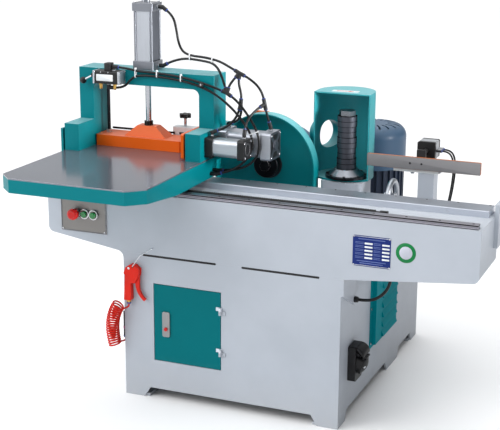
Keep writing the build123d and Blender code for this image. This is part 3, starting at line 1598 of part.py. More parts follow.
with BuildPart() as fixed_hoses:
    bar("x", (gland_x, cable_start), (gland_y, gland_z), 2 * cable_radius)
    bar("z", (boss_bottom - gland_length, boss_bottom), (boss_x, boss_y), 2 * cable_radius)
    hose(
        [
            (cable_start, gland_y, gland_z),
            (cable_start + 0.38 * cable_run, gland_y, gland_z),
            (cable_start + 0.77 * cable_run, (gland_y + boss_y) / 2, gland_z + 0.26 * cable_rise),
            (boss_x, boss_y, gland_z + 0.7 * cable_rise),
            (boss_x, boss_y, gland_z + cable_rise),
        ],
        cable_radius,
        "switch cable",
    )
    for number, (seat_y, route) in enumerate(zip(stop_seats, stop_routes)):
        bar("z", (stop_seat_z, stop_seat_z + gland_length), (stop_seat_x, seat_y), socket_radius)
        hose(route, stop_line_radius, f"stop line {number + 1}")
    for near in (supply_left, supply_right - anchor_block):
        anchor_y = (supply_y - anchor_block_width / 2, supply_y + anchor_block_width / 2)
        block((near, near + anchor_block), anchor_y, (deck, deck + anchor_block_width))

with BuildPart() as supply_hose:
    lie = deck + supply_radius + fit_gap
    supply_span = supply_right - supply_left
    hose(
        [
            (supply_left + anchor_block, supply_y, lie),
            (supply_left + 0.152 * supply_span, supply_y, lie),
            (supply_left + 0.315 * supply_span, supply_y + 3, lie),
            (supply_left + 0.489 * supply_span, supply_y - 2, lie),
            (supply_left + 0.663 * supply_span, supply_y + 2.5, lie),
            (supply_left + 0.826 * supply_span, supply_y, lie),
            (supply_right - anchor_block, supply_y, lie),
        ],
        supply_radius,
        "supply hose",
    )

# Hook, air gun and trigger
with BuildPart() as gun_hook:
    hook_front = gun_front - 2 * hook_radius
    hook_root = (gun_x + 65, front, gun_z + 67)
    hook_z = gun_z + gun_hole_radius - hook_radius - fit_gap
    with BuildLine() as wire:
        FilletPolyline(
            hook_root,
            (hook_root[0], gun_y, hook_root[2]),
            (gun_x + 31, hook_front, gun_z + 44),
            (gun_x, hook_front, hook_z),
            (gun_x, gun_y + gun_thickness / 2, hook_z),
            radius=2 * hook_radius,
        )
    with BuildSketch(Plane(hook_root, z_dir=(0, -1, 0))) as section:
        Circle(hook_radius)
    sweep(section.sketch, path=wire.wire())

with BuildPart() as air_gun:
    gun_y_span = (gun_front, gun_front + gun_thickness)
    head = [
        (-34, -25), (-26, -3), (-9, 8), (7, 7), (23, -7), (21, -29),
        (6, -55), (-8, -55), (-8, -gun_grip_drop), (-34, -gun_grip_drop), (-29, -29),
    ]
    prism_y(from_hook(head), gun_y_span, corner=2.5)
    slot = (gun_y - gun_slot / 2, gun_y + gun_slot / 2)
    block((gun_x - 7, gun_x + 31), slot, (gun_z - 65, gun_z - 7), Mode.SUBTRACT)
    bar("y", gun_y_span, trigger_pivot, trigger_pin_radius)
    bar("y", gun_y_span, (gun_x, gun_z), gun_hole_radius, Mode.SUBTRACT)
    bar("z", (gun_fitting_bottom, gun_grip_bottom), (gun_fitting_x, gun_y), gun_fitting_radius)

with BuildPart() as gun_trigger:
    half = trigger_thickness / 2
    trigger_points = [
        (21, -27), (20, -55), (27, -89), (44, -107),
        (37, -114), (15, -89), (6, -53), (7, -23),
    ]
    with BuildSketch(Plane.XZ.offset(-(gun_y - half))) as lever:
        with BuildLine():
            a, b, c, d, e, f, g, h = from_hook(trigger_points)
            Line(a, b)
            ThreePointArc(b, c, d)
            Line(d, e)
            ThreePointArc(e, f, g)
            Line(g, h)
            Line(h, a)
        make_face()
        with Locations(trigger_pivot):
            Circle(trigger_lobe)
            Circle(trigger_pin_radius + fit_gap, mode=Mode.SUBTRACT)
    extrude(amount=-trigger_thickness)

with BuildPart() as air_outlet:
    bar("z", (outlet_bottom, outlet_top), (outlet_x, outlet_y), outlet_radius)
    bar("x", (outlet_x, left), (outlet_y, outlet_top - outlet_radius), outlet_radius)
    bar("x", (left - outlet_radius / 2, left), (outlet_y, outlet_top - outlet_radius), outlet_flange)

# Spiral hose: a helix on a bowed axis, made of two arcs for each quarter turn
hose_start = Vector(gun_fitting_x, gun_y, gun_fitting_bottom)
hose_end = Vector(outlet_x, outlet_y, outlet_bottom)
axis_points = [
    hose_start + Vector(-26, -20, -3),
    hose_start + Vector(-57, -16, -43),
    hose_end + Vector(-30, -44, 37),
    hose_end + Vector(-17, -40, -16),
]


def axis_at(part):
    """A point of the bowed axis and its direction, at part of the way along it."""
    a, b, c, d = axis_points
    rest = 1 - part
    place = a * rest**3 + b * (3 * rest**2 * part) + c * (3 * rest * part**2) + d * part**3
    way = (b - a) * rest**2 + (c - b) * (2 * rest * part) + (d - c) * part**2
    return place, way.normalized()


def coil_point(turn):
    """A point of the helix after so many turns from the gun."""
    part = turn / (coil_turns + 0.75)
    place, way = axis_at(part * (1 + coil_loose) - part**2 * coil_loose)
    forward = Vector(0, -1, 0)
    outward = forward.cross(way).normalized()
    forward = way.cross(outward).normalized()
    angle = 2 * pi * turn
    return place + outward * (coil_radius * cos(angle)) + forward * (coil_radius * sin(angle))


def coil_way(turn):
    """The helix's direction, from two points close by."""
    step = 0.001
    return (coil_point(turn + step) - coil_point(turn - step)).normalized()


def arc_pair(start, start_way, end, end_way):
    """Two arcs that join two points with given directions; returns their meeting point and direction."""
    gap = end - start
    both = start_way + end_way
    curve = 2 * (start_way.dot(end_way) - 1)
    push = -2 * gap.dot(both)
    reach = (-push - sqrt(push**2 - 4 * curve * gap.dot(gap))) / (2 * curve)
    near = start + start_way * reach
    far = end - end_way * reach
    return (near + far) / 2, (far - near).normalized()


down = Vector(0, 0, -1)
straight = 2 * coil_tube_radius
quarter_turns = [quarter / 4 for quarter in range(4 * coil_turns + 4)]
stations = [(hose_start + down * straight, down)]
stations += [(coil_point(turn), coil_way(turn)) for turn in quarter_turns]
stations += [(hose_end + down * straight, -down)]
with BuildPart() as spiral_hose:
    with BuildLine() as winding:
        Line(hose_start, stations[0][0])
        for (here, here_way), (there, there_way) in zip(stations, stations[1:]):
            meet, meet_way = arc_pair(here, here_way, there, there_way)
            TangentArc(here, meet, tangent=here_way)
            TangentArc(meet, there, tangent=meet_way)
        Line(stations[-1][0], hose_end)
    with BuildSketch(Plane(hose_start, z_dir=down)) as section:
        Circle(coil_tube_radius)
    sweep(section.sketch, path=winding.wire())

coil_line = winding.wire()
arc_radii = [edge.radius for edge in coil_line.edges() if edge.geom_type == GeomType.CIRCLE]
length = coil_line.length
samples = [coil_line @ (step / 1600) for step in range(1601)]
skip = int(1600 * 6 * coil_tube_radius / length)
clear = min(
    (one - other).length - 2 * coil_tube_radius
    for place, one in enumerate(samples)
    for other in samples[place + skip :: 2]
)
print(f"spiral hose: length {length:.0f} mm, least arc {min(arc_radii):.1f} mm, least gap {clear:.2f} mm")
volume_ratio = spiral_hose.part.volume / (pi * coil_tube_radius**2 * length)
print(f"spiral hose: volume {volume_ratio:.4f} of section by length")

pieces = {
    "cabinet": cabinet,
    "cabinet_door": cabinet_door,
    "door_latch": door_latch,
    "latch_button": latch_button,
    "louvre_panel": louvre_panel,
    "power_inlet": power_inlet,
    "inlet_lid": inlet_lid,
    "electrical_panel": electrical_panel,
    "bed": bed,
    "front_rail": front_rail,
    "rear_way": rear_way,
    "control_panel": control_panel,
    "estop_button": estop_button,
    "start_button_left": start_button_left,
    "start_button_right": start_button_right,
    "saw_hood": saw_hood,
    "saw_pedestal": saw_pedestal,
    "saw_flange": saw_flange,
    "saw_motor": saw_motor,
    "spindle_base": spindle_base,
    "quill": quill,
    "spindle_bearings": spindle_bearings,
    "spindle_shaft": spindle_shaft,
    "spacer_collars": spacer_collars,
    "cutter_hood": cutter_hood,
    "main_motor": main_motor,
    "motor_fan_cover": motor_fan_cover,
    "motor_pulley": motor_pulley,
    "drive_belt": drive_belt,
    "handwheel": handwheel,
    "stop_post": stop_post,
    "stop_cylinder": stop_cylinder,
    "stop_plate": stop_plate,
    "table_top": table_top,
    "table_frame": table_frame,
    "carriage_bearings": carriage_bearings,
    "gantry": gantry,
    "press_cylinder_ends": press_cylinder_ends,
    "press_cylinder_barrel": press_cylinder_barrel,
    "press_rod": press_rod,
    "press_beam": press_beam,
    "guide_rod": guide_rod,
    "front_clamp_caps": front_clamp_caps,
    "front_clamp_barrel": front_clamp_barrel_tube,
    "rear_clamp_cylinder": rear_clamp_cylinder,
    "side_clamp": side_clamp,
    "valve_body": valve_body,
    "valve_lever": valve_lever,
    "fence_block": fence_block,
    "star_knob": star_knob,
    "air_fittings": air_fittings,
    "air_lines": air_lines,
    "fixed_hoses": fixed_hoses,
    "supply_hose": supply_hose,
    "gun_hook": gun_hook,
    "air_gun": air_gun,
    "gun_trigger": gun_trigger,
    "air_outlet": air_outlet,
    "spiral_hose": spiral_hose,
}
for name, piece in pieces.items():
    piece.part.label = name
    export_step(piece.part, f"parts/{name}.step")
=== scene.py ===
from math import cos, pi, radians, sin

import bpy
import numpy as np
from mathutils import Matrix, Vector


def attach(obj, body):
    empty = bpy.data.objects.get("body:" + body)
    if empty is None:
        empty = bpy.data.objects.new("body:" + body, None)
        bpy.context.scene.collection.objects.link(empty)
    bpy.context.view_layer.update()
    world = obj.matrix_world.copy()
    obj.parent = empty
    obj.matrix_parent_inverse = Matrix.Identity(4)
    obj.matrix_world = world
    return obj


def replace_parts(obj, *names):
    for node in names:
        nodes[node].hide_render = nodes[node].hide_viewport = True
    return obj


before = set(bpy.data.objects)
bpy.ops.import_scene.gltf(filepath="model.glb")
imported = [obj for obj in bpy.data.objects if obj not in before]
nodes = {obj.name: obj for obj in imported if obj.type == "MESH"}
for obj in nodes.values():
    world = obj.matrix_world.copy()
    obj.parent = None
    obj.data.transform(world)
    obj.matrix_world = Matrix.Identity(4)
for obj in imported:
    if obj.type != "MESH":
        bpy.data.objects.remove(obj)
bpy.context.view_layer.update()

scene = bpy.context.scene
finishes = {}

MM = 0.001
TINY = 1e-12
FULL_TURN = 2 * pi
HEXAGON = 6
SHARP_ANGLE = radians(35.0)
X, Y, Z = 0, 1, 2
LEFT, FRONT, DOWN = (-1, 0, 0), (0, -1, 0), (0, 0, -1)
RIGHT, BACK, UP = (1, 0, 0), (0, 1, 0), (0, 0, 1)


# Shapes: each function gives points in millimetres, the four-cornered faces that join them, and end caps

def grid_faces(rows, columns, round_rows=False, round_columns=False):
    """Cell (i, j) joins point (i, j) with its three neighbours; a closed way joins the last with the first."""
    i, j = np.indices((rows - (not round_rows), columns - (not round_columns))).reshape(2, -1)
    up, right = (i + 1) % rows, (j + 1) % columns
    return np.stack([i * columns + j, i * columns + right, up * columns + right, up * columns + j], 1)


def tube(loops):
    """Loops of points, one after another, joined round and along, with a cap on each end."""
    count, around = loops.shape[:2]
    ring = np.arange(around)
    caps = np.stack([ring[::-1], ring + (count - 1) * around])
    return loops.reshape(-1, 3), grid_faces(count, around, round_columns=True), caps


def unit(way, least=0.0):
    """A direction, or rows of them, with length one; a least length lets a row be empty."""
    way = np.array(way, float)
    return way / (np.linalg.norm(way, axis=-1, keepdims=True) + least)


def angles(steps):
    """Angles evenly spaced all the way round."""
    return np.linspace(0, FULL_TURN, steps, endpoint=False)


def axes_of(way):
    """Two directions square to way, with way as the third of a right-handed set."""
    way = unit(way)
    across = unit(np.cross(UP if abs(way[Z]) < 0.9 else RIGHT, way))
    return across, np.cross(way, across), way


def turned(profile, centre, way, steps):
    """Pairs (radius, height) carried round an axis: centre + radius (cos t, sin t) + height along the axis."""
    across, up, along = axes_of(way)
    t = angles(steps)[:, None]
    radius, height = np.array(profile, float).T
    ring = np.cos(t) * across + np.sin(t) * up
    loops = radius[:, None, None] * ring + (height[:, None] * along)[:, None]
    return tube(loops + centre)


def rounded_rectangle(width, height, corner, steps=5):
    """An outline of four quarter circles, one at each corner, joined by the sides."""
    turns = np.arange(4)[:, None] * pi / 2 + np.linspace(0, pi / 2, steps)
    signs = np.array([(1, 1), (-1, 1), (-1, -1), (1, -1)], float)
    middle = signs * (width / 2 - corner, height / 2 - corner)
    points = middle[:, None] + corner * np.stack([np.cos(turns), np.sin(turns)], 2)
    return points.reshape(-1, 2)


def circle(radius, steps=32):
    """A round outline."""
    t = angles(steps)
    return radius * np.stack([np.cos(t), np.sin(t)], 1)


def inset(outline, depth):
    """The outline moved inwards: each point goes along the bisector of its two sides, as far as keeps depth."""
    one, two = unit(outline - np.roll(outline, 1, 0), TINY), unit(np.roll(outline, -1, 0) - outline, TINY)
    x, y = (one + two).T
    normal = unit(np.stack([-y, x], 1), TINY)
    bend = np.clip((one * two).sum(1), -0.5, 1.0)[:, None]
    return outline + normal * depth / np.sqrt((1 + bend) / 2)


def drawn_out(outlines, rises, centre, way, up):
    """Flat outlines laid square to way, each at its own rise, their upper side towards up."""
    along, high = unit(way), unit(up)
    across = np.cross(high, along)
    points = outlines[..., :1] * across + outlines[..., 1:] * high + rises[:, None, None] * along
    return points + centre


def plate(outline, centre, way, thickness, edge, up):
    """An outline drawn out along way, its front edge rounded in three steps of a quarter circle."""
    turn = np.linspace(0, pi / 2, 4)
    rises = np.concatenate([[0.0], thickness - edge + edge * np.sin(turn)])
    depths = np.concatenate([[0.0], edge * (1 - np.cos(turn))])
    outlines = np.stack([inset(outline, depth) for depth in depths])
    return tube(drawn_out(outlines, rises, centre, way, up))


def sheet(size, corner, centre, way, thickness, up=UP):
    """A thin plate with round corners."""
    return plate(rounded_rectangle(*size, corner), centre, way, thickness, min(0.3, thickness / 2), up)


def brick(low, high, edge=0.5):
    """A block between two corners, its upright edges and its top edge rounded."""
    low, high = np.array(low, float), np.array(high, float)
    (width, length, height), middle = high - low, (low + high) / 2
    outline = rounded_rectangle(width, length, min(edge, width / 2.1, length / 2.1), 3)
    return plate(outline, (middle[X], middle[Y], low[Z]), UP, height, min(edge, height / 3), BACK)


def band(outer, inner, centre, way, width, up):
    """A strap: an outer and an inner outline, both drawn out by width, joined into one closed ring."""
    outlines = np.stack([outer, outer, inner, inner])
    rises = np.array([-0.5, 0.5, 0.5, -0.5]) * width
    points = drawn_out(outlines, rises, centre, way, up)
    return points.reshape(-1, 3), grid_faces(4, len(outer), True, True), np.empty((0, 4), int)


def swept(path, radius, sides):
    """A circle of changing radius carried along a path, square to the path at each point."""
    way = unit(np.gradient(path, axis=0))
    slant = (0.31, 0.87, 0.38)
    across = unit(np.cross(way, slant))
    up = np.cross(way, across)
    t = angles(sides)[:, None]
    ring = np.cos(t) * across[:, None] + np.sin(t) * up[:, None]
    return tube(path[:, None] + radius[:, None, None] * ring)


def corner_fill(corner, one, two, radius, depth, steps=10):
    """The space between two sides that meet at corner and an arc that touches both, drawn out along y."""
    corner, one, two = np.array(corner, float), unit(one), unit(two)
    half = np.arccos(one @ two) / 2
    centre = corner + unit(one + two) * radius / sin(half)
    ends = corner + np.stack([one, two]) * radius / np.tan(half) - centre
    first, last = np.arctan2(ends[:, 1], ends[:, 0])
    turn = (last - first + pi) % FULL_TURN - pi
    t = first + np.linspace(0, turn, steps)
    arc = centre + radius * np.stack([np.cos(t), np.sin(t)], 1)
    outline = np.concatenate([arc, [corner]])
    return tube(np.stack([np.insert(outline, 1, y, axis=1) for y in depth]))


def cap_screw(centre, way, radius, head):
    """A cap screw: a round head with an eased rim and a socket sunk into it."""
    profile = np.array([(1, 0), (1, 0.85), (0.88, 1), (0.55, 1), (0.5, 0.4)]) * (radius, head)
    return turned(profile, centre, way, 20)


def hex_screw(centre, way, radius, head):
    """A washer and a six-sided head with an eased top."""
    washer = np.array([(1.25, 0), (1.25, 0.2), (1.1, 0.26)]) * (radius, head)
    top = np.array([(1, 0.2), (1, 0.9), (0.84, 1)]) * (radius, head)
    return [turned(washer, centre, way, 20), turned(top, centre, way, HEXAGON)]


def gland(centre, way, radius, length):
    """A cable gland: a hexagon nut and a domed cap, one after the other along way."""
    nut = np.array([(1, 0), (1, 0.45)]) * (radius, length)
    cap = np.array([(0.8, 0.4), (0.94, 0.5), (0.94, 0.8), (0.7, 1)]) * (radius, length)
    return [turned(nut, centre, way, HEXAGON), turned(cap, centre, way, 20)]


def corners(one, two):
    """The four corners of a rectangle, from its middle."""
    return [(x, y) for x in (-one, one) for y in (-two, two)]


def piece(name, body, coat, *shapes, slot=None):
    """One object of several shapes, at the origin, smooth except at sharp edges; coat names its finish."""
    points, faces, count = [], [], 0
    for shape_points, quads, caps in shapes:
        points.append(shape_points)
        faces += (quads + count).tolist() + (caps + count).tolist()
        count += len(shape_points)
    mesh = bpy.data.meshes.new(name)
    mesh.from_pydata((np.concatenate(points) * MM).tolist(), [], faces)
    mesh.update()
    mesh.shade_smooth()
    mesh.set_sharp_from_angle(angle=SHARP_ANGLE)
    mesh.materials.append(finishes[coat])
    made = bpy.data.objects.new(name, mesh)
    scene.collection.objects.link(made)
    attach(made, body)
    return made


# Finishes: small steps that build node trees

SOCKET_KINDS = {1: "Float", 3: "Vector", 4: "Color"}
MID_GREY = (0.5, 0.5, 0.5, 1.0)
SKIN_OUTPUTS = {"Color": MID_GREY, "Roughness": 0.5, "Height": 0.0}


def tint(red, green, blue):
    """A colour given as it shows on screen, turned into linear light."""
    shown = np.array([red, green, blue]) / 255
    return (*np.where(shown < 0.04045, shown / 12.92, ((shown + 0.055) / 1.055) ** 2.4).tolist(), 1.0)


def put(tree, kind, sockets=None, **options):
    """Places a node; each socket takes a number, a colour or another node's output."""
    node = tree.nodes.new("ShaderNode" + kind)
    for key, value in options.items():
        setattr(node, key, value)
    for key, value in (sockets or {}).items():
        if isinstance(value, bpy.types.NodeSocket):
            tree.links.new(value, node.inputs[key])
        else:
            node.inputs[key].default_value = value
    return node


def empty_tree(owner):
    """Turns on the nodes of a material or a world and gives their tree, cleared."""
    owner.use_nodes = True
    owner.node_tree.nodes.clear()
    return owner.node_tree


def group(name, inputs, outputs=SKIN_OUTPUTS):
    """An empty node group with named sockets and their start values, its start and its end."""
    tree = bpy.data.node_groups.new(name, "ShaderNodeTree")
    for way, sockets in (("INPUT", inputs), ("OUTPUT", outputs)):
        for label, value in sockets.items():
            kind = "NodeSocket" + SOCKET_KINDS[np.size(value)]
            tree.interface.new_socket(label, in_out=way, socket_type=kind).default_value = value
    return tree, tree.nodes.new("NodeGroupInput").outputs, tree.nodes.new("NodeGroupOutput").inputs


def give_out(tree, end, **values):
    """Joins values to a group's end sockets of the same name."""
    for label, value in values.items():
        tree.links.new(value, end[label])


def joined(kind, sockets, output=0, **options):
    """Places a node in the tree that its linked sockets belong to, and gives one of its outputs."""
    linked = [value for value in sockets.values() if isinstance(value, bpy.types.NodeSocket)]
    return put(linked[0].id_data, kind, sockets, **options).outputs[output]


def arithmetic(operation):
    """One kind of sum as a function; clamp holds its result between 0 and 1."""
    def reckon(one, two=0.0, clamp=False):
        return joined("Math", {0: one, 1: two}, operation=operation, use_clamp=clamp)
    return reckon


plus, minus, times, over = map(arithmetic, ("ADD", "SUBTRACT", "MULTIPLY", "DIVIDE"))
greater, nearest, size_of = map(arithmetic, ("MAXIMUM", "ROUND", "ABSOLUTE"))


def mixed(part, one, two):
    """Colour one turned into colour two by part."""
    return joined("Mix", {0: part, 6: one, 7: two}, 2, data_type="RGBA")


def toned(colour, value, saturation=1.0):
    """A colour made lighter or darker, and stronger or paler."""
    return joined("HueSaturation", {"Color": colour, "Value": value, "Saturation": saturation})


def noise(place, scale, detail=3.0, rough=0.55):
    """Cloudy values round one half; detail adds smaller clouds."""
    return joined("TexNoise", {"Vector": place, "Scale": scale, "Detail": detail, "Roughness": rough})


def ramp(value, start, end):
    """0 at start and 1 at end, and no further."""
    return joined("MapRange", {0: value, 1: start, 2: end})


def between(level, start, end, blend=0.0004):
    """1 from start to end and 0 outside, with a short blend at both ends."""
    return times(ramp(level, start, start + blend), ramp(level, end, end - blend))


def facing(way, other):
    """How far one way looks along another."""
    return joined("VectorMath", {0: way, 1: other}, "Value", operation="DOT_PRODUCT")


def distance(x, y):
    """The length of the flat way (x, y)."""
    return joined("VectorMath", {0: joined("CombineXYZ", {0: x, 1: y})}, "Value", operation="LENGTH")


def off_step(value, first, pitch):
    """How far a value lies from its nearest step, counted in steps from first."""
    step = over(minus(value, first), pitch)
    return minus(step, nearest(step))


def whereabouts(tree):
    """The place on the object, in metres."""
    return put(tree, "TexCoord").outputs["Object"]


def coordinates(tree):
    """The three object coordinates, in metres."""
    return put(tree, "SeparateXYZ", {0: whereabouts(tree)}).outputs[:3]


# Finishes: the shared skins

EDGE_RADIUS, BUMP_DEPTH, COAT_ROUGHNESS = 0.0012, 0.0002, 0.12


def make_soft_edge():
    """Rounds the look of edges within Radius and marks them in Edge."""
    tree, given, end = group("soft_edge", {"Radius": EDGE_RADIUS}, {"Normal": UP, "Edge": 0.0})
    rounded = put(tree, "Bevel", {"Radius": given["Radius"]}, samples=4).outputs[0]
    plain = put(tree, "NewGeometry").outputs["True Normal"]
    give_out(tree, end, Normal=rounded, Edge=times(minus(1.0, facing(rounded, plain)), 4.0, True))
    return tree


def make_paint_skin():
    """Sprayed paint: slow changes of tone, painted light that makes up-facing faces paler, a painted highlight on
    edges, dust on tops and near the floor, orange peel.
    """
    inputs = {"Paint": MID_GREY, "Dust": 0.2, "Gloss": 0.35, "Fade": 0.0, "Edge": 0.0}
    tree, given, end = group("paint_skin", inputs)
    paint, place = given["Paint"], whereabouts(tree)
    tone_scale, speck_scale, peel_scale, dusty_height = 5.0, 46.0, 420.0, 0.16
    slow = noise(place, tone_scale, 4.0)
    specks = noise(place, speck_scale, 3.0, 0.65)
    deep, edge_highlight = toned(paint, 0.86, 1.06), toned(paint, 1.25, 0.78)
    colour = mixed(times(minus(slow, 0.4, True), 1.6, True), deep, paint)
    # Painted highlight: edges are mixed towards a paler colour, as if they caught the light.
    colour = mixed(times(given["Edge"], 0.5), colour, edge_highlight)
    look_up = joined("SeparateXYZ", {0: put(tree, "NewGeometry").outputs["True Normal"]}, "Z")
    # Painted light: faces that look up are mixed towards a paler colour, standing in for the light that falls on
    # tops.
    top_lit = toned(paint, 1.9, 0.66)
    colour = mixed(times(look_up, given["Fade"], True), colour, top_lit)
    low = ramp(coordinates(tree)[Z], dusty_height, 0.0)
    lies = greater(times(look_up, 0.6, True), low)
    dust = times(times(lies, specks), given["Dust"], True)
    colour = mixed(dust, colour, tint(186, 180, 168))
    rough = plus(given["Gloss"], times(minus(specks, 0.5), 0.16))
    rough = plus(rough, times(dust, 0.5), True)
    give_out(tree, end, Color=colour, Roughness=rough, Height=noise(place, peel_scale, 1.0))
    return tree


def make_drawn_lines():
    """Fine lines left by grinding, brushing or drawing: noise stretched by Stretch, plus slow smudges."""
    inputs = {"Metal": MID_GREY, "Stretch": (6.0, 700.0, 700.0), "Polish": 0.3, "Depth": 0.3, "Wear": 0.3}
    tree, given, end = group("drawn_lines", {**inputs, "Edge": 0.0})
    metal, place, smudge_scale = given["Metal"], whereabouts(tree), 9.0
    along = joined("VectorMath", {0: place, 1: given["Stretch"]}, operation="MULTIPLY")
    lines = noise(along, 1.0, 4.0, 0.7)
    smudge = noise(place, smudge_scale, 5.0, 0.6)
    part = plus(times(lines, 0.9), times(smudge, 0.7), True)
    colour = mixed(part, toned(metal, 0.7), metal)
    # Painted highlight: edges are mixed towards pale grey, as if they caught the light.
    colour = mixed(times(given["Edge"], 0.4), colour, (0.9, 0.9, 0.9, 1.0))
    rough = plus(given["Polish"], times(minus(lines, 0.5), given["Wear"]))
    rough = plus(rough, times(minus(smudge, 0.5), given["Wear"]), True)
    give_out(tree, end, Color=colour, Roughness=rough, Height=times(lines, given["Depth"]))
    return tree


def make_moulded_skin():
    """Moulded plastic or rubber: a fine spark-eroded grain, faint flow marks and paler edges, part rubbed wear
    and part painted highlight.
    """
    inputs = {"Plastic": (0.1, 0.1, 0.1, 1.0), "Gloss": 0.4, "Grain": 900.0, "Edge": 0.0}
    tree, given, end = group("moulded_skin", inputs)
    plastic, place, flow_scale = given["Plastic"], whereabouts(tree), 24.0
    flow = noise(place, flow_scale, 3.0)
    edge_highlight, deep = toned(plastic, 1.5, 0.9), toned(plastic, 0.8)
    colour = mixed(times(minus(flow, 0.35, True), 2.0, True), deep, plastic)
    # Paler edges: part rubbed wear, part painted highlight.
    colour = mixed(times(given["Edge"], 0.35), colour, edge_highlight)
    rough = plus(given["Gloss"], times(minus(flow, 0.5), 0.2), True)
    give_out(tree, end, Color=colour, Roughness=rough, Height=noise(place, given["Grain"], 1.0))
    return tree


soft_edge = make_soft_edge()
paint_skin = make_paint_skin()
drawn_lines = make_drawn_lines()
moulded_skin = make_moulded_skin()


def finish(name, skin, values, metal=0.0, coat=0.0, bump=0.05, specular=0.5, recolour=None, on=""):
    """A material of a skin and softened edges; on names the pieces that it covers."""
    made = finishes[name] = bpy.data.materials.new(name)
    tree = empty_tree(made)
    rim = put(tree, "Group", {"Radius": EDGE_RADIUS}, node_tree=soft_edge).outputs
    given = put(tree, "Group", {**values, "Edge": rim["Edge"]}, node_tree=skin).outputs
    colour, rough = given["Color"], given["Roughness"]
    if recolour:
        colour, rough = recolour(colour, rough)
    height = {"Strength": bump, "Distance": BUMP_DEPTH, "Height": given["Height"], "Normal": rim["Normal"]}
    sockets = {
        "Base Color": colour,
        "Roughness": rough,
        "Metallic": metal,
        "Coat Weight": coat,
        "Coat Roughness": COAT_ROUGHNESS,
        "Specular IOR Level": specular,
        "Normal": joined("Bump", height),
    }
    put(tree, "OutputMaterial", {"Surface": joined("BsdfPrincipled", sockets)})
    for covered in on.split():
        mesh = nodes[covered].data
        mesh.materials.clear()
        mesh.materials.append(made)


# Finishes: changes of colour that follow the place on a piece

def painted_hole_row(first, pitch, row, radius):
    """Painted bolt holes in a row along x: dark spots stand for the shade inside sunk holes, each spot as dark as
    it is near to the next hole's centre, with a paler ring as a painted highlight on the rim.
    """
    def recolour(colour, rough):
        x, y, _ = coordinates(colour.id_data)
        far = distance(times(off_step(x, first, pitch), pitch), minus(y, row))
        hole_shade = ramp(far, radius, radius - 0.0006)
        rim = ramp(far, radius + 0.0012, radius + 0.0004)
        colour = mixed(times(rim, 0.5), colour, (0.8, 0.8, 0.82, 1.0))
        return mixed(hole_shade, colour, (0.012, 0.012, 0.013, 1.0)), plus(rough, hole_shade, True)
    return recolour


def beyond(axis, start, end, other):
    """Another colour beyond a level: nothing of it at start, all of it at end along one axis."""
    def recolour(colour, rough):
        return mixed(ramp(coordinates(colour.id_data)[axis], start, end), colour, other), rough
    return recolour


def barrel(axis, start, end, other):
    """Another colour between two levels along one axis, as on a cylinder's barrel."""
    def recolour(colour, rough):
        return mixed(between(coordinates(colour.id_data)[axis], start, end), colour, other), rough
    return recolour


def painted_hood_light(axis, half, low, high):
    """Painted light inside the round-backed hood: the colour is made lighter nearer to its axis than half,
    between two levels.
    """
    def recolour(colour, rough):
        x, y, z = coordinates(colour.id_data)
        back = greater(minus(y, axis[Y]))
        near = ramp(distance(minus(x, axis[X]), back), half + 0.0005, half - 0.0005)
        inside = times(between(z, low, high), near)
        return mixed(inside, colour, toned(colour, 1.75, 0.9)), rough
    return recolour


def stacked(first, pitch):
    """Thin dark joints between spacers, one every pitch upwards from first."""
    def recolour(colour, rough):
        away = size_of(off_step(coordinates(colour.id_data)[Z], first, pitch))
        joint = ramp(away, 0.06, 0.03)
        return mixed(joint, colour, (0.004, 0.004, 0.004, 1.0)), plus(rough, joint, True)
    return recolour


def after(*changes):
    """Several changes of colour, one after the other."""
    def recolour(colour, rough):
        for change in changes:
            colour, rough = change(colour, rough)
        return colour, rough
    return recolour


# Finishes: one for each kind of surface

def paint(name, colour, gloss=0.4, dust=0.1, specular=0.18, top_light=0.0, **more):
    """Sprayed paint; the painted top light says how much paler the faces are that look up."""
    values = {"Paint": tint(*colour), "Gloss": gloss, "Dust": dust, "Fade": top_light}
    finish(name, paint_skin, values, specular=specular, **more)


def metal(name, colour, polish, stretch, depth=0.3, wear=0.28, bare=1.0, **more):
    """Ground, drawn or cast metal; stretch is smallest along the lines that the tool left."""
    values = {"Metal": tint(*colour), "Polish": polish, "Stretch": stretch, "Depth": depth, "Wear": wear}
    finish(name, drawn_lines, values, metal=bare, bump=0.12, **more)


def plastic(name, colour, gloss=0.42, grain=900.0, bump=0.12, **more):
    """Moulded plastic or rubber; a larger grain value is a finer grain."""
    values = {"Plastic": tint(*colour), "Gloss": gloss, "Grain": grain}
    finish(name, moulded_skin, values, bump=bump, **more)


GROUND_ACROSS = (900, 4, 900)
GROUND_ALONG = (3, 1600, 1600)
DRAWN_UPRIGHT = (500, 500, 8)
TURNED_UPRIGHT = (60, 60, 900)
BRUSHED_UPRIGHT = (400, 400, 7)
BRUSHED_ALONG = (7, 400, 400)

hood_inside_light = painted_hood_light(axis=(0.213, 0.04), half=0.0962, low=0.704, high=0.9885)
hinge_leaves = beyond(Y, -0.4662, -0.4665, tint(206, 211, 220))
stop_lug = beyond(Z, 0.8062, 0.8066, tint(40, 39, 40))
rail_hole_shades = painted_hole_row(first=0.768, pitch=0.101, row=-0.446, radius=0.0048)
# Painted shade: one dark band stands for the shade in the rail's side groove, another for the crease at its foot.
rail_groove_shade = barrel(Z, 0.7083, 0.7126, tint(26, 24, 25))
rail_foot_shade = barrel(Z, 0.698, 0.701, tint(44, 42, 43))
way_hole_shades = painted_hole_row(first=0.774, pitch=0.0995, row=-0.2455, radius=0.0042)
# Painted light: the way's front side is lighter than its top, as if lit from the front.
way_side_light = barrel(Z, 0.698, 0.719, tint(200, 205, 215))
rod_foot = beyond(Z, 0.8838, 0.8832, tint(52, 48, 46))
guide_foot = beyond(Z, 0.8426, 0.842, tint(190, 190, 192))
quill_flange = beyond(Z, 0.7154, 0.715, tint(52, 53, 57))
collar_joints = stacked(first=0.7353, pitch=0.018)
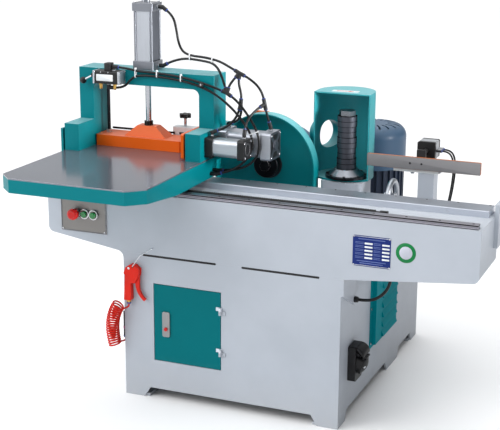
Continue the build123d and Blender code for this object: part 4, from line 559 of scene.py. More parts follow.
# Painted shade: the press barrel's right side is darkened, as if turned away from the light.
press_right_shade = beyond(X, -0.3787, -0.3773, tint(104, 108, 117))
# Painted shade: the far end of the rear clamp's cap is darkened, as if in shade.
rear_cap_shade = beyond(X, 0.0502, 0.0508, tint(112, 116, 125))
stop_barrel = barrel(Y, 0.028, 0.066, tint(150, 152, 156))
rail_change, way_change = after(rail_hole_shades, rail_groove_shade, rail_foot_shade), after(way_side_light, way_hole_shades)

# The top light given to some paints below is painted light: it makes their faces that look up paler.
paint("body_paint", (181, 187, 196), 0.42, 0.25, on="cabinet bed spindle_base stop_post")
paint("teal_paint", (2, 119, 127), 0.36, 0.2, specular=0.1, top_light=0.8, on="table_frame gantry")
# louvre_paint is a lighter copy of the teal paint: painted light against the shade on the right side.
paint("louvre_paint", (2, 138, 149), 0.5, 0.1, specular=0.02, on="louvre_panel")
# hood_paint and open_hood_paint are lighter copies of the teal paint: painted light, standing in for light that
# the table, gantry and cylinders keep off the hoods.
paint("hood_paint", (22, 141, 148), 0.36, 0.2, top_light=0.6, on="saw_hood")
paint("open_hood_paint", (22, 137, 145), 0.36, 0.2, top_light=0.6, recolour=hood_inside_light, on="cutter_hood")
paint("door_paint", (0, 109, 116), 0.4, specular=0.06, recolour=hinge_leaves, on="cabinet_door")
paint("orange_paint", (226, 98, 32), 0.38, 0.05, top_light=0.15, on="press_beam side_clamp")
paint("stop_paint", (168, 98, 54), 0.4, 0.05, recolour=stop_lug, on="stop_plate")
paint("stop_grey", (130, 129, 131), 0.5, 0.1)
paint("pale_paint", (224, 230, 232), 0.45, 0.1)
paint("motor_paint", (73, 98, 124), 0.4, 0.15, 0.3, on="motor_fan_cover saw_motor")
paint("ribbed_paint", (52, 62, 80), 0.44, 0.15, 0.25, on="main_motor")

metal("table_steel", (122, 126, 136), 0.15, GROUND_ACROSS, 0.06, 0.06, 0.55, on="table_top")
metal("rail_steel", (160, 158, 168), 0.36, GROUND_ALONG, recolour=rail_change, on="front_rail")
metal("way_steel", (156, 162, 172), 0.34, GROUND_ALONG, bare=0.7, recolour=way_change, on="rear_way")
metal("bar_steel", (196, 198, 202), 0.2, DRAWN_UPRIGHT, on="spindle_bearings gun_hook")
metal("shaft_steel", (118, 122, 128), 0.3, TURNED_UPRIGHT, on="spindle_shaft")
metal("rod_steel", (190, 192, 198), 0.16, DRAWN_UPRIGHT, recolour=rod_foot, on="press_rod")
metal("guide_steel", (44, 43, 46), 0.3, DRAWN_UPRIGHT, recolour=guide_foot, on="guide_rod")
metal("quill_steel", (138, 141, 148), 0.3, TURNED_UPRIGHT, recolour=quill_flange, on="quill")
metal("collar_steel", (84, 86, 94), 0.48, TURNED_UPRIGHT, recolour=collar_joints, on="spacer_collars")
metal("satin_aluminium", (180, 184, 191), 0.44, BRUSHED_UPRIGHT, on="handwheel")
metal("press_aluminium", (180, 184, 191), 0.4, BRUSHED_UPRIGHT, recolour=press_right_shade, on="press_cylinder_barrel")
metal("cap_aluminium", (128, 131, 138), 0.44, BRUSHED_UPRIGHT, on="press_cylinder_ends")
metal("side_aluminium", (190, 194, 200), 0.42, BRUSHED_ALONG, on="front_clamp_barrel")
metal("rear_aluminium", (176, 180, 188), 0.44, BRUSHED_ALONG, recolour=rear_cap_shade, on="rear_clamp_cylinder")
metal("latch_metal", (150, 150, 151), 0.46, (300, 300, 9), on="door_latch")
metal("panel_metal", (128, 126, 124), 0.46, (9, 500, 900), on="control_panel")
iron_pieces = "saw_pedestal motor_pulley carriage_bearings"
metal("dark_iron", (96, 98, 102), 0.5, (120, 120, 120), on=iron_pieces)
metal("black_steel", (40, 40, 43), 0.34, (300, 300, 300), on="saw_flange")
metal("brass", (200, 160, 84), 0.3, (200, 200, 200))

black_pieces = "front_clamp_caps valve_body valve_lever air_fittings air_outlet star_knob drive_belt"
black_pieces += " air_lines fixed_hoses supply_hose"
plastic("black_plastic", (20, 20, 22), 0.45, specular=0.35, on=black_pieces)
plastic("stop_black", (20, 20, 22), 0.45, specular=0.35, recolour=stop_barrel, on="stop_cylinder")
plastic("inlet_plastic", (20, 20, 23), 0.46, 700.0, specular=0.35, on="power_inlet inlet_lid")
plastic("grey_plastic", (148, 150, 152), 0.5, on="electrical_panel")
plastic("white_plastic", (222, 224, 226), 0.42, on="fence_block")
plastic("red_plastic", (206, 26, 24), 0.34, 500.0, 0.05, specular=0.3, on="estop_button latch_button")
gun_pieces = "air_gun gun_trigger spiral_hose"
plastic("hose_red", (214, 31, 11), 0.3, 400.0, 0.04, specular=0.2, on=gun_pieces)
start_buttons = "start_button_left start_button_right"
plastic("green_plastic", (28, 128, 64), 0.3, 500.0, 0.05, coat=0.3, on=start_buttons)
plastic("blue_plastic", (38, 66, 150), 0.4)
plastic("hose_black", (12, 12, 14), 0.34, 600.0, 0.06, specular=0.3)
plastic("wrap_black", (15, 15, 17), 0.5, 300.0, specular=0.3)
plastic("blue_plate", (16, 40, 112), 0.42, 500.0, 0.04, specular=0.2)
plastic("label_white", (224, 228, 230), 0.5)
plastic("label_grey", (186, 189, 202), 0.5)
plastic("label_pale", (86, 106, 166), 0.5)
plastic("label_green", (8, 120, 62), 0.45, specular=0.2)
plastic("arrow_red", (196, 38, 34), 0.5)
plastic("mauve_plastic", (150, 62, 112), 0.4)


# Cords

AIR_RADIUS, STOP_RADIUS, CABLE_RADIUS, DECK_RADIUS, COIL_TUBE = 4, 3, 5, 6, 2.8


def cord(name, points, radius, body, coat, node):
    """A round hose on one smooth spline through the route's points."""
    curve = bpy.data.curves.new(name, "CURVE")
    curve.dimensions = "3D"
    curve.bevel_depth = radius * MM
    curve.bevel_resolution = 4
    curve.resolution_u = 5
    curve.use_fill_caps = True
    line = curve.splines.new("NURBS")
    line.points.add(len(points) - 1)
    places = np.ones((len(points), 4))
    places[:, :3] = np.array(points, float) * MM
    line.points.foreach_set("co", places.ravel())
    line.order_u = 3
    line.use_endpoint_u = True
    curve.materials.append(finishes[coat])
    made = bpy.data.objects.new(name, curve)
    scene.collection.objects.link(made)
    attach(made, body)
    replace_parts(made, node)


# Air lines of the carriage: the first fitting, the points between, the last fitting, the length
SOCKET = 18
valve_out = (-500, -275.5, 1071)
valve_low = (-517, -275.5, 1000)
press_low = (-351, -203, 1073.5)
press_top = (-351, -203, 1267)
front_elbow = (-131.5, -297, 883)
front_port = (-18.5, -297, 883)
rear_elbow = (-115, -199, 895.5)
rear_port = (33.5, -199, 895.5)
bulkhead_near = (-126, -281, 741)
bulkhead_far = (-126, -260, 749)
first_tee = (-100, -250, 1006)
second_tee = (-64, -230, 1070)
third_tee = (-56, -238, 970)
fourth_tee = (18, -214, 972)
air_routes = {
    "valve_line": (valve_out, [
        (-452, -269, 1067), (-412, -264, 1058.5), (-345, -262, 1057.5), (-262, -262, 1050.5),
        (-200, -262, 1039), (-143, -259, 1024),
    ], first_tee, 373),
    "valve_return": (valve_low, [
        (-466, -268, 1000), (-440, -265, 1032), (-415, -263, 1046), (-345, -262, 1046.5),
        (-262, -262, 1039), (-200, -262, 1027), (-138, -261, 1004), (-75, -257, 957),
        (-24, -254, 898), (-1, -254, 846), (-22, -260, 795), (-70, -270, 755),
    ], bulkhead_near, 751),
    "drop_line": (first_tee, [
        (-66, -250, 985), (-28, -251, 943), (6, -253, 895), (20, -254, 842), (2, -254, 790), (-50, -257, 757),
    ], bulkhead_far, 362),
    "tee_link": (first_tee, [(-92, -240, 1038)], second_tee, 42),
    "tee_drop": (second_tee, [(-66, -233, 1036), (-54, -236, 1003)], third_tee, 66),
    "front_feed": (third_tee, [(-64, -250, 928), (-92, -279, 896)], front_elbow, 104),
    "rear_feed": (third_tee, [(-58, -226, 938), (-78, -212, 908)], rear_elbow, 77),
    "tee_bow": (second_tee, [(-34, -226, 1056), (-4, -220, 1032), (12, -216, 1004)], fourth_tee, 101),
    "front_return": (fourth_tee, [(2, -232, 960), (-13, -258, 940), (-19, -284, 916)], front_port, 98),
    "rear_return": (fourth_tee, [(24, -208, 936)], rear_port, 44),
    "press_upper": (press_top, [
        (-311, -205, 1240), (-299, -207, 1195), (-292, -209, 1155), (-275, -212, 1124),
        (-240, -216, 1114), (-195, -219, 1113), (-140, -224, 1105), (-100, -228, 1088),
    ], second_tee, 353),
    "press_lower": (press_low, [
        (-318, -206, 1090), (-276, -211, 1102), (-246, -215, 1104),
        (-195, -223, 1101), (-152, -231, 1096), (-124, -240, 1066),
    ], first_tee, 276),
}


def mouth(core, target):
    """The mouth of a fitting's socket, on the way from its core to the next point, and that way."""
    way = unit(np.subtract(target, core))
    return core + way * SOCKET, way


collets = []
collet = [(4.2, -1), (6, -1), (6.2, 0.4), (5.9, 1.8), (4.2, 2.2)]
for name, (start, middle, end, length) in air_routes.items():
    first, first_way = mouth(start, middle[0])
    last, last_way = mouth(end, middle[-1])
    cord(name, [first, *middle, last], AIR_RADIUS, "carriage", "hose_black", "air_lines")
    collets += [turned(collet, first, first_way, 16), turned(collet, last, last_way, 16)]
piece("air_collets", "carriage", "blue_plastic", *collets)

# Lines of the stop, the switch cable and the hose on the deck
stop_port_x, stop_rod_z, stop_ports = 548, 814.4, (33.8, 60.2)
seat_x, seat_z, stop_seats = 577, 537, (-26, -4)
stop_bow = np.array([(0, 0, 0), (22, 0, 0), (40, -5, -21), (46, -16, -64), (44, -30, -118), (38, -46, -172)])
for number, (port_y, seat_y, length) in enumerate(zip(stop_ports, stop_seats, (299, 300)), 1):
    route = [*(stop_bow + (stop_port_x, port_y, stop_rod_z))]
    route += [(seat_x, seat_y, seat_z + above) for above in (50, 14)]
    cord(f"stop_line_{number}", route, STOP_RADIUS, "frame", "hose_black", "fixed_hoses")
cable_start, cable_reach = np.array([397, -353, 400.2]), np.array([100, 5.5, 87.8])
cable_bow = np.array([(0, 0, 0), (0.38, 0, 0), (0.77, 0.5, 0.26), (1, 1, 0.7), (1, 1, 1)])
cable_route = cable_start + cable_reach * cable_bow
cord("switch_cable", cable_route, CABLE_RADIUS, "frame", "hose_black", "fixed_hoses")
deck_left, deck_length, deck_y, deck_lie, anchor_length = -420, 920, -412, 705.05, 26
far_anchor = deck_length - anchor_length
deck_bow = ((anchor_length, 0), (140, 0), (290, 3), (450, -2), (610, 2.5), (760, 0), (far_anchor, 0))
deck_route = [(deck_left + x, deck_y + y, deck_lie) for x, y in deck_bow]
cord("deck_hose", deck_route, DECK_RADIUS, "frame", "hose_black", "supply_hose")

gland_length, wall_x, bed_underside = 14, 383, 502
hose_ends = gland((wall_x, *cable_route[0, 1:]), RIGHT, 10, gland_length)
hose_ends += gland((*cable_route[-1, :2], bed_underside), DOWN, 10, gland_length)
for seat_y in stop_seats:
    hose_ends += gland((seat_x, seat_y, seat_z), UP, 6.5, gland_length)
anchor_outline, anchor_height, anchor_foot = rounded_rectangle(anchor_length, 14, 3), 14, 699
for near in (0, far_anchor):
    anchor_place = (deck_left + near + anchor_length / 2, deck_y, anchor_foot)
    hose_ends.append(plate(anchor_outline, anchor_place, UP, anchor_height, 1.2, BACK))
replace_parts(piece("hose_ends", "frame", "black_plastic", *hose_ends, slot="black_plastic"), "fixed_hoses")

# Spiral hose: more points of one spline, on a helix round a bowed axis
COIL_TURNS, COIL_RADIUS, COIL_POINTS = 17.75, 20, 16
gun_x, gun_y, outlet_x, outlet_y = -352, -478, -385, -444
hose_top, hose_foot = np.array([gun_x, gun_y, 327]), np.array([outlet_x, outlet_y, 192])
coil_axis = np.array([(-378, -498, 324), (-409, -494, 284), (-415, -488, 229), (-402, -484, 176)])


def coil_points():
    """Axis point plus radius times (cos, sin) of the turn, the axis being a cubic of four points."""
    turn = np.arange(0, COIL_TURNS + 0.01, 1 / COIL_POINTS)
    part = turn / COIL_TURNS
    part = (part * 1.1 - part**2 * 0.1)[:, None]
    a, b, c, d = coil_axis
    rest = 1 - part
    place = a * rest**3 + b * (3 * rest**2 * part) + c * (3 * rest * part**2) + d * part**3
    way = unit((b - a) * rest**2 + (c - b) * (2 * rest * part) + (d - c) * part**2)
    outward = unit(np.cross(FRONT, way))
    forward = np.cross(way, outward)
    angle = FULL_TURN * turn[:, None]
    radius = COIL_RADIUS / cos(pi / COIL_POINTS)
    return place + outward * (radius * np.cos(angle)) + forward * (radius * np.sin(angle))


drop = np.array([0, 0, -6])
coil_route = [hose_top, hose_top + drop, hose_top + 2 * drop, *coil_points()]
coil_route += [hose_foot + 2 * drop, hose_foot + drop, hose_foot]
cord("spiral_air_hose", coil_route, COIL_TUBE, "frame", "hose_red", "spiral_hose")


# Small parts of the frame

FACE_Y = -466


def on_front(x, z, out=0):
    """A place on the machine's front face, or so far out in front of it."""
    return (x, FACE_Y - out, z)


# Painted shade: two thin black sheets on the front stand for the shade in two slits.
slit_size, slit_z, slit_places = (260, 7), 494.3, (-174, 174)
slit_shades = [sheet(slit_size, 3, on_front(x, slit_z), FRONT, 0.3) for x in slit_places]
piece("front_slit_shades", "frame", "black_plastic", *slit_shades)

bed_corner, bed_slant, bed_depth = (-375, 497), (-278, 41), (FACE_Y, -230)
piece("bed_corner_fill", "frame", "body_paint", corner_fill(bed_corner, bed_slant, (0, -1), 24, bed_depth))

# Data plate: fields and rules on a plate with four rivets
plate_x, plate_z, plate_depth, plate_rows, row_pitch = 468, 597.5, 1, range(5), 11.3
FIELD_DEPTH, PRINT_DEPTH = 0.2, 0.15


def plate_bar(length, height, corner, x, z, thickness=PRINT_DEPTH):
    """A flat bar on the data plate, at a place counted from the plate's middle."""
    place = on_front(plate_x + x, plate_z + z, plate_depth)
    return sheet((length, height), corner, place, FRONT, thickness)


piece("data_plate", "frame", "blue_plate", sheet((119, 96), 5, on_front(plate_x, plate_z), FRONT, plate_depth))
fields = [
    plate_bar(length, 5.5, 1, x, 24.5 - row_pitch * row, FIELD_DEPTH)
    for x, length in ((-9.5, 25), (44.5, 23))
    for row in plate_rows
]
fields += [plate_bar(113, 1.2, 0.5, 0, z) for z in (-45, 45)]
piece("data_plate_fields", "frame", "label_white", *fields)
rules = [
    plate_bar(length, 1.6, 0.6, x, 23 - row_pitch * row + rise)
    for x, length in ((-38, 27), (17, 22))
    for row in plate_rows
    for rise in (0, 4.2)
]
rules += [plate_bar(length, 2.4, 1, 0, z) for length, z in ((84, 37.5), (92, -31.5), (74, -38))]
piece("data_plate_rules", "frame", "label_pale", *rules)
rivet = [(2.6, 0), (2.4, 0.9), (1.2, 1.5)]
rivets = [turned(rivet, on_front(plate_x + x, plate_z + z, 0.9), FRONT, 14) for x, z in corners(56, 44.5)]
piece("data_plate_rivets", "frame", "bar_steel", *rivets)
label_place = on_front(574, 606.5)
piece("round_label", "frame", "label_green", turned([(31, 0), (31, 0.3), (30.7, 0.5)], label_place, FRONT, 48))
label_middle = turned([(20, 0.5), (20, 0.7), (19.8, 0.8)], label_place, FRONT, 40)
piece("round_label_middle", "frame", "label_grey", label_middle)

# Push-button panel, and the screws of the panel and of the louvre
panel_x, panel_z, panel_depth, button_z, estop_x = -518, 606, 3, 611, -545
rim_outline, rim_opening = rounded_rectangle(167, 115, 2), rounded_rectangle(161, 109, 1.5)
panel_rim = band(rim_outline, rim_opening, on_front(panel_x, panel_z, panel_depth + 0.3), FRONT, 1.4, UP)
piece("panel_rim", "frame", "dark_iron", panel_rim)
screws = [cap_screw(on_front(panel_x + x, panel_z + z, panel_depth), FRONT, 3.2, 2.2) for x, z in corners(78, 52)]
louvre_face, louvre_columns, louvre_rows = 378, (-143, 121), (176, 298, 421)
screws += [cap_screw((louvre_face, y, z), RIGHT, 4.2, 2.4) for y in louvre_columns for z in louvre_rows]
piece("frame_screws", "frame", "bar_steel", *screws)
bezel_width = 3
bezels = [
    band(circle(radius + bezel_width), circle(radius), on_front(x, button_z, out), FRONT, depth, UP)
    for x, radius, out, depth in ((estop_x, 14.7, 9, 6), (-512, 13.6, 7, 7), (-479, 13.6, 7, 7))
]
piece("button_bezels", "frame", "bar_steel", *bezels)
estop_ring = band(circle(12.5), circle(10.5), on_front(estop_x, button_z, 37), FRONT, 0.5, UP)
piece("estop_ring", "estop_button", "arrow_red", estop_ring)

# Air gun, its outlet, and the collets of the hoses that stay on the frame
piece("gun_screw", "frame", "bar_steel", turned([(4.2, 0), (4.2, 1.2), (2.6, 1.8)], (-345, -488, 450), FRONT, 18))
gun_axis, outlet_axis = (gun_x, gun_y, 0), (outlet_x, outlet_y, 0)
piece("gun_ferrule", "frame", "brass", turned([(7.3, 331), (7.6, 332), (7.6, 338), (7.3, 339)], gun_axis, UP, 24))
collars = [
    turned([(6.4, 325.6), (7.5, 326.4), (7.5, 330.2), (6.8, 331)], gun_axis, UP, 24),
    turned([(6.1, 192.5), (6.9, 193.2), (6.9, 198), (6.1, 199)], outlet_axis, UP, 20),
]
small_collet = [(3.1, 0), (5.2, 0), (5.4, 0.6), (5.2, 2.2), (3.1, 2.6)]
collars += [turned(small_collet, (stop_port_x, y, stop_rod_z), RIGHT, 16) for y in stop_ports]
piece("blue_collets", "frame", "blue_plastic", *collars)
outlet_ring = turned([(6.1, 222), (6.8, 223), (6.8, 231), (6.1, 232)], outlet_axis, UP, 20)
piece("outlet_ring", "frame", "mauve_plastic", outlet_ring)

# Power inlet: a domed lid with a catch on the dome, and a round shoulder above the lid
lid_tilt, lid_face = radians(20), np.array([420.9, -345, 179.9])
lid_way = np.array([cos(lid_tilt), 0, -sin(lid_tilt)])
lid_up = np.array([sin(lid_tilt), 0, cos(lid_tilt)])
dome_round, dome_rise, catch_sunk = 45, 9, 0.3
dome_base = dome_round - dome_rise
rise = np.linspace(0, dome_rise, 8)
reach = np.maximum(np.sqrt(dome_round**2 - (rise + dome_base) ** 2), 0.5)
piece("inlet_dome", "inlet_lid", "inlet_plastic", turned(np.stack([reach, rise], 1), lid_face, lid_way, 36))
catch_reach = np.array([0, -20, 0]) + 4 * lid_up
catch_way = catch_reach + np.sqrt(dome_round**2 - catch_reach @ catch_reach) * lid_way
catch_place = lid_face + catch_way - (dome_base + catch_sunk) * lid_way
catch = turned([(4.5, 0), (4.5, 2), (3.4, 2.8)], catch_place, catch_way, 18)
piece("inlet_catch", "inlet_lid", "bar_steel", catch)
shoulder_place, shoulder_size, shoulder_width, shoulder_edge = (399, -311, 217), (28, 29), 68, 8
t = np.linspace(0, pi / 2, 14)
shoulder = np.concatenate([np.stack([np.cos(t), np.sin(t)], 1) * shoulder_size, [(0, 0)]])
shoulder = plate(shoulder, shoulder_place, FRONT, shoulder_width, shoulder_edge, UP)
piece("inlet_shoulder", "frame", "inlet_plastic", shoulder)

# Spiral wrap round the hose on the deck: a thickness that swells once every pitch
wrap_left, wrap_right, wrap_y, wrap_z, wrap_step, wrap_pitch = -393, 462, -412.3, 707.2, 1.5, 7.5
wrap_radius, wrap_swell = 7.4, 0.5
wrap_x = np.arange(wrap_left, wrap_right, wrap_step)
wrap_path = np.stack([wrap_x, np.full_like(wrap_x, wrap_y), np.full_like(wrap_x, wrap_z)], 1)
wrap = swept(wrap_path, wrap_radius + wrap_swell * np.sin(FULL_TURN * wrap_x / wrap_pitch), 14)
piece("hose_wrap", "frame", "wrap_black", wrap)

# Hoods: a tab on the saw's, a label with a turning arrow on the cutter's
piece("saw_guard_tab", "frame", "orange_paint", brick((-88, -35, 850), (-36, -29, 914.5), 3))
hood_x, hood_y, hood_top, label_depth, label_up = 212, 32, 990, 0.4, (-0.08, 1, 0)
hood_label = sheet((92, 30), 4, (hood_x, hood_y, hood_top), UP, label_depth, label_up)
piece("hood_label", "frame", "label_white", hood_label)
arrow = np.array([(-30, -3.2), (12, -3.2), (12, -9), (32, 0), (12, 9), (12, 3.2), (-30, 3.2)])
hood_arrow = plate(arrow, (hood_x, hood_y, hood_top + label_depth), UP, 0.25, 0.1, label_up)
piece("hood_arrow", "frame", "arrow_red", hood_arrow)

# Small parts of the spindle and the stop
spindle_x, bolt_circle, bolt_z, bolt_count, bolt_start = 231, 64, 715, 8, 0.2
t = angles(bolt_count) + bolt_start
bolt_places = zip(spindle_x + bolt_circle * np.cos(t), bolt_circle * np.sin(t))
piece("quill_bolts", "quill", "black_steel", *[cap_screw((x, y, bolt_z), UP, 4.4, 4.4) for x, y in bolt_places])
stop_x, stop_front, stop_z, face_depth = 510, -58, 785.5, 0.3
piece("stop_face", "stop", "stop_grey", sheet((377, 40.2), 3.1, (stop_x, stop_front, stop_z), FRONT, face_depth))
bracket_foot = 753.5
piece("stop_bracket", "frame", "pale_paint", brick((408, -46.5, bracket_foot), (559, 62, 763), 1))
bracket_nut = turned([(6.5, 0), (6.5, 5.5), (5.5, 6.5)], (471, -37, bracket_foot), DOWN, HEXAGON)
piece("bracket_nut", "frame", "bar_steel", bracket_nut)
# Painted shade: two thin black discs on the stop face stand for the shade inside its two holes.
hole_shade_disc, hole_places = [(3.6, 0), (3.6, 0.1), (3.4, 0.15)], (466.5, 505)
hole_shade_discs = [turned(hole_shade_disc, (x, stop_front - face_depth, stop_z), FRONT, 20) for x in hole_places]
piece("stop_hole_shades", "stop", "black_plastic", *hole_shade_discs)

# Small parts of the carriage: ties and a clip on the hoses
TIE_WIDTH, TIE_DEPTH = 3.6, 1


def tie(width, height, corner, centre, way, up):
    """A flat strap round a bundle of hoses."""
    thinner = 2 * TIE_DEPTH
    inner = rounded_rectangle(width - thinner, height - thinner, corner - TIE_DEPTH)
    return band(rounded_rectangle(width, height, corner), inner, centre, way, TIE_WIDTH, up)


tie_places = (
    (-423, -264, 1051.5, 30), (-345, -262, 1052, 22), (-258, -262, 1044.2, 22),
    (-247, -215.5, 1109.6, 22), (-162, -226, 1102.6, 22),
)
straps = [tie(11, height, 5.4, (x, y, z), RIGHT, UP) for x, y, z, height in tie_places]
lean_x, lean_z = 0.404, 0.915
straps.append(tie(12, 36, 5.5, (-4, -254, 882), (lean_x, 0, -lean_z), (lean_z, 0, lean_x)))
locks = [
    brick((x - 3, y - 3.5, z + height / 2 - 1), (x + 3, y + 2.5, z + height / 2 + 4))
    for x, y, z, height in tie_places
]
piece("cable_ties", "carriage", "white_plastic", *straps, *locks)
clip_x, clip_y, clip_z = -183, -266, 1030
clip = turned([(8.5, 0), (8.5, 4), (7, 5.5)], (clip_x, clip_y, clip_z), FRONT, 24)
piece("hose_clip", "carriage", "black_plastic", clip)
piece("hose_clip_screw", "carriage", "bar_steel", cap_screw((clip_x, clip_y - 5, clip_z), FRONT, 3.2, 2))

# Hand valve
silencer = [(4, 0), (6.4, 0.5), (6.4, 6), (5.2, 6.5), (5.2, 15), (4.4, 19), (2.5, 20.5)]
piece("silencers", "carriage", "brass", *[turned(silencer, (x, -278, 1014), DOWN, 24) for x in (-546.5, -494)])
valve_front, valve_right, valve_y = -298, -467.6, valve_out[Y]
piece("valve_label", "carriage", "label_white", sheet((62, 22), 2, (-522, valve_front, 1035), FRONT, 0.3))
end_widths, end_front, end_back = ((-566.3, -560.2), (-473.8, -467.6)), -298.4, -252.8
end_low, end_high = 1013.7, 1057.3
ends = [brick((left, end_front, end_low), (right, end_back, end_high), 0.6) for left, right in end_widths]
port_nut = [(9, 0), (9, 3.5), (8, 4)]
ends += [
    turned(port_nut, (x, valve_y, z), way, HEXAGON)
    for x, z, way in ((valve_out[X], 1057, UP), (valve_low[X], 1014, DOWN))
]
piece("valve_ends", "carriage", "satin_aluminium", *ends)
piece("valve_manifold", "carriage", "black_plastic", brick((-527, -290, 1057.2), (-505, -262, 1083), 1.5))
valve_screws = [cap_screw((valve_right, y, z), RIGHT, 3, 2.4) for y in (-293, -258) for z in (1019, 1052)]
end_columns, end_rows = (-563.2, -470.8), (1018, 1053)
valve_screws += [cap_screw((x, valve_front - 0.2, z), FRONT, 1.9, 1.2) for x in end_columns for z in end_rows]
valve_screws += [cap_screw((x, valve_front, 1053.5), FRONT, 2.2, 0.8) for x in (-536, -508)]
piece("valve_screws", "carriage", "bar_steel", *valve_screws)
lever_root, lever_way = (-573.3, valve_y, 1040), (-42, 0, -22)
piece("lever_shank", "valve_lever", "bar_steel", turned([(3.7, 8), (3.7, 37)], lever_root, lever_way, 18))

# Cylinders of the press and the side clamp
press_x, press_y, press_height, press_side = -408, -203, 1280, -370
clamp_z, front_x, front_y, rear_x, rear_y = 836, -7, -297, 51, -199
side_nut, top_nut, port_drop = [(9, 0), (9, 5), (8, 6)], [(7.5, 0), (7.5, 6), (6.5, 7)], 14
nuts = [cap_screw((press_x + x, press_y + y, press_height), UP, 5.2, 4) for x, y in corners(30, 30)]
nuts += [turned(side_nut, (press_side, press_y, z), RIGHT, HEXAGON) for z in (press_low[Z], press_top[Z])]
nuts += [cap_screw((front_x, front_y + y, clamp_z + z), RIGHT, 4.6, 3) for y, z in corners(24, 24)]
nuts += [cap_screw((rear_x, rear_y + y, clamp_z + z), RIGHT, 5.2, 3) for y, z in corners(36, 36)]
nuts += [
    turned(top_nut, (x, y, z - port_drop), UP, HEXAGON)
    for x, y, z in (front_elbow, front_port, rear_elbow, rear_port)
]
piece("cylinder_fasteners", "carriage", "bar_steel", *nuts)
end_ring = band(circle(21), circle(17), (front_x + 0.3, front_y, clamp_z), RIGHT, 1.2, UP)
piece("clamp_end_ring", "carriage", "dark_iron", end_ring)
# Painted shade: four thin black plates on the rear clamp's end stand for the shade in its recessed pockets.
pocket = np.array([(-27, 38), (-10, 20), (10, 20), (27, 38)])
pocket_shades = [plate(pocket, (rear_x, rear_y, clamp_z), RIGHT, 0.3, 0.1, up) for up in (UP, BACK, DOWN, FRONT)]
piece("clamp_end_pocket_shades", "carriage", "black_plastic", *pocket_shades)

# Seals, bolts, strips and the knob's stud
block_end, seal_depth = -188, 4
seals = [
    sheet(size, 3, (block_end, y, z), RIGHT, seal_depth)
    for size, y, z in (((46, 24), -446, 728), ((70, 18), -275, 733))
]
piece("bearing_seals", "carriage", "blue_plastic", *seals)
gantry_left, foot_bolt_z, foot_bolt_places = -658, 832.5, (-340, -276)
foot_bolts = sum((hex_screw((gantry_left, y, foot_bolt_z), LEFT, 7, 6.5) for y in foot_bolt_places), [])
piece("foot_bolts", "carriage", "bar_steel", *foot_bolts)
strip_front, strip_back, strip_low, strip_high = -153.6, -150.6, 834, 841
strips = [
    brick((left, strip_front, strip_low), (right, strip_back, strip_high))
    for left, right in ((-574, -336), (-318, -278))
]
piece("press_strips", "press", "black_plastic", *strips)
piece("knob_stud", "star_knob", "bar_steel", turned([(5.3, 858.6), (5.3, 887.5)], (-308, -125, 0), UP, 20))


# Studio: a pale floor, soft lights and the photograph's camera

FLOOR_RINGS, FLOOR_STEPS, FLOOR_LEVEL, FLOOR_REACH = 14, 48, -0.5, (0.2, 60.0)


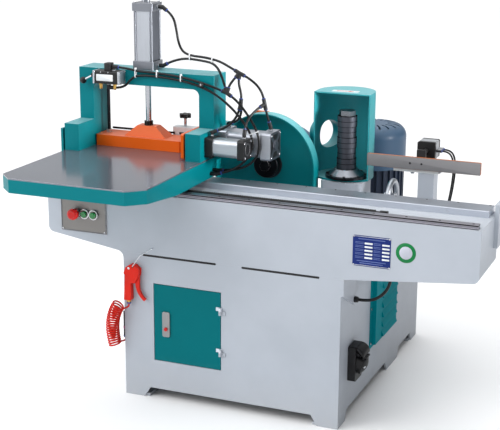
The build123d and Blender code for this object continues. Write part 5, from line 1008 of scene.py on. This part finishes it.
def make_floor():
    """A wide disc of rings that grow outwards, level at floor height."""
    radius = np.geomspace(*FLOOR_REACH, FLOOR_RINGS)[:, None] / MM
    t = angles(FLOOR_STEPS)
    level = np.full((FLOOR_RINGS, FLOOR_STEPS), FLOOR_LEVEL)
    flat = np.stack([radius * np.cos(t), radius * np.sin(t), level], 2)
    points = np.concatenate([flat.reshape(-1, 3), [[0.0, 0.0, FLOOR_LEVEL]]])
    spot = np.arange(FLOOR_STEPS)
    middle = np.stack([spot, (spot + 1) % FLOOR_STEPS, np.full_like(spot, len(points) - 1)], 1)
    rings = grid_faces(FLOOR_RINGS, FLOOR_STEPS, round_columns=True)[:, ::-1]
    mesh = bpy.data.meshes.new("floor")
    mesh.from_pydata((points * MM).tolist(), [], rings.tolist() + middle.tolist())
    cover = bpy.data.materials.new("floor_cover")
    tree = empty_tree(cover)
    clouds = noise(whereabouts(tree), 0.6, 2.0)
    tone = mixed(clouds, (0.93, 0.93, 0.935, 1.0), (0.96, 0.96, 0.96, 1.0))
    shader = joined("BsdfPrincipled", {"Base Color": tone, "Roughness": 0.9, "Specular IOR Level": 0.1})
    put(tree, "OutputMaterial", {"Surface": shader})
    mesh.materials.append(cover)
    made = bpy.data.objects.new("floor", mesh)
    scene.collection.objects.link(made)


def area_light(name, place, target, size, power, spread=180):
    """A soft light that looks from place to target; spread is its cone in degrees."""
    light = bpy.data.lights.new(name, "AREA")
    light.shape = "RECTANGLE"
    light.size, light.size_y = size
    light.energy = power
    light.spread = radians(spread)
    made = bpy.data.objects.new(name, light)
    made.location = place
    made.rotation_euler = (Vector(target) - Vector(place)).to_track_quat("-Z", "Y").to_euler()
    scene.collection.objects.link(made)


def make_world():
    """Light that grows with height, more of it from the front left, one bright screen and one dark one."""
    made = bpy.data.worlds.new("studio")
    tree = empty_tree(made)
    way = put(tree, "TexCoord").outputs["Generated"]
    height = joined("MapRange", {0: facing(way, UP), 3: 0.5, 4: 1.5})
    front = times(facing(way, (-0.5, -0.8, 0.2)), 0.22)
    screen = times(ramp(facing(way, (-0.76, -0.54, 0.36)), 0.84, 0.93), 1.3)
    shade = times(ramp(facing(way, (0.93, -0.36, 0.08)), 0.72, 0.95), 0.4)
    right = times(ramp(facing(way, RIGHT), 0.0, 0.8), 0.66)
    light = plus(plus(height, front), screen)
    light = greater(minus(minus(light, shade), right), 0.03)
    dome = joined("Background", {"Color": (0.98, 0.99, 1.0, 1.0), "Strength": light})
    put(tree, "OutputWorld", {"Surface": dome})
    return made


make_floor()
area_light("key", (-2.6, -3.4, 3.6), (0.0, -0.2, 0.6), (2.6, 2.2), 58)
area_light("top", (0.2, 0.4, 4.2), (0.0, 0.0, 0.6), (3.4, 3.0), 40)
area_light("side", (2.6, -0.55, 1.5), (-0.1, -0.25, 1.15), (0.9, 0.8), 5.5, 28)
scene.world = make_world()
scene.view_settings.view_transform = "Standard"

lens = bpy.data.cameras.new("camera")
lens.sensor_width = 36.0
lens.lens = 91.2
lens.clip_end = 200.0
camera = bpy.data.objects.new("camera", lens)
camera.location = (1.5136, -3.9777, 1.7029)
camera.rotation_euler = (radians(74.77), radians(-0.31), radians(22.40))
scene.collection.objects.link(camera)
scene.camera = camera
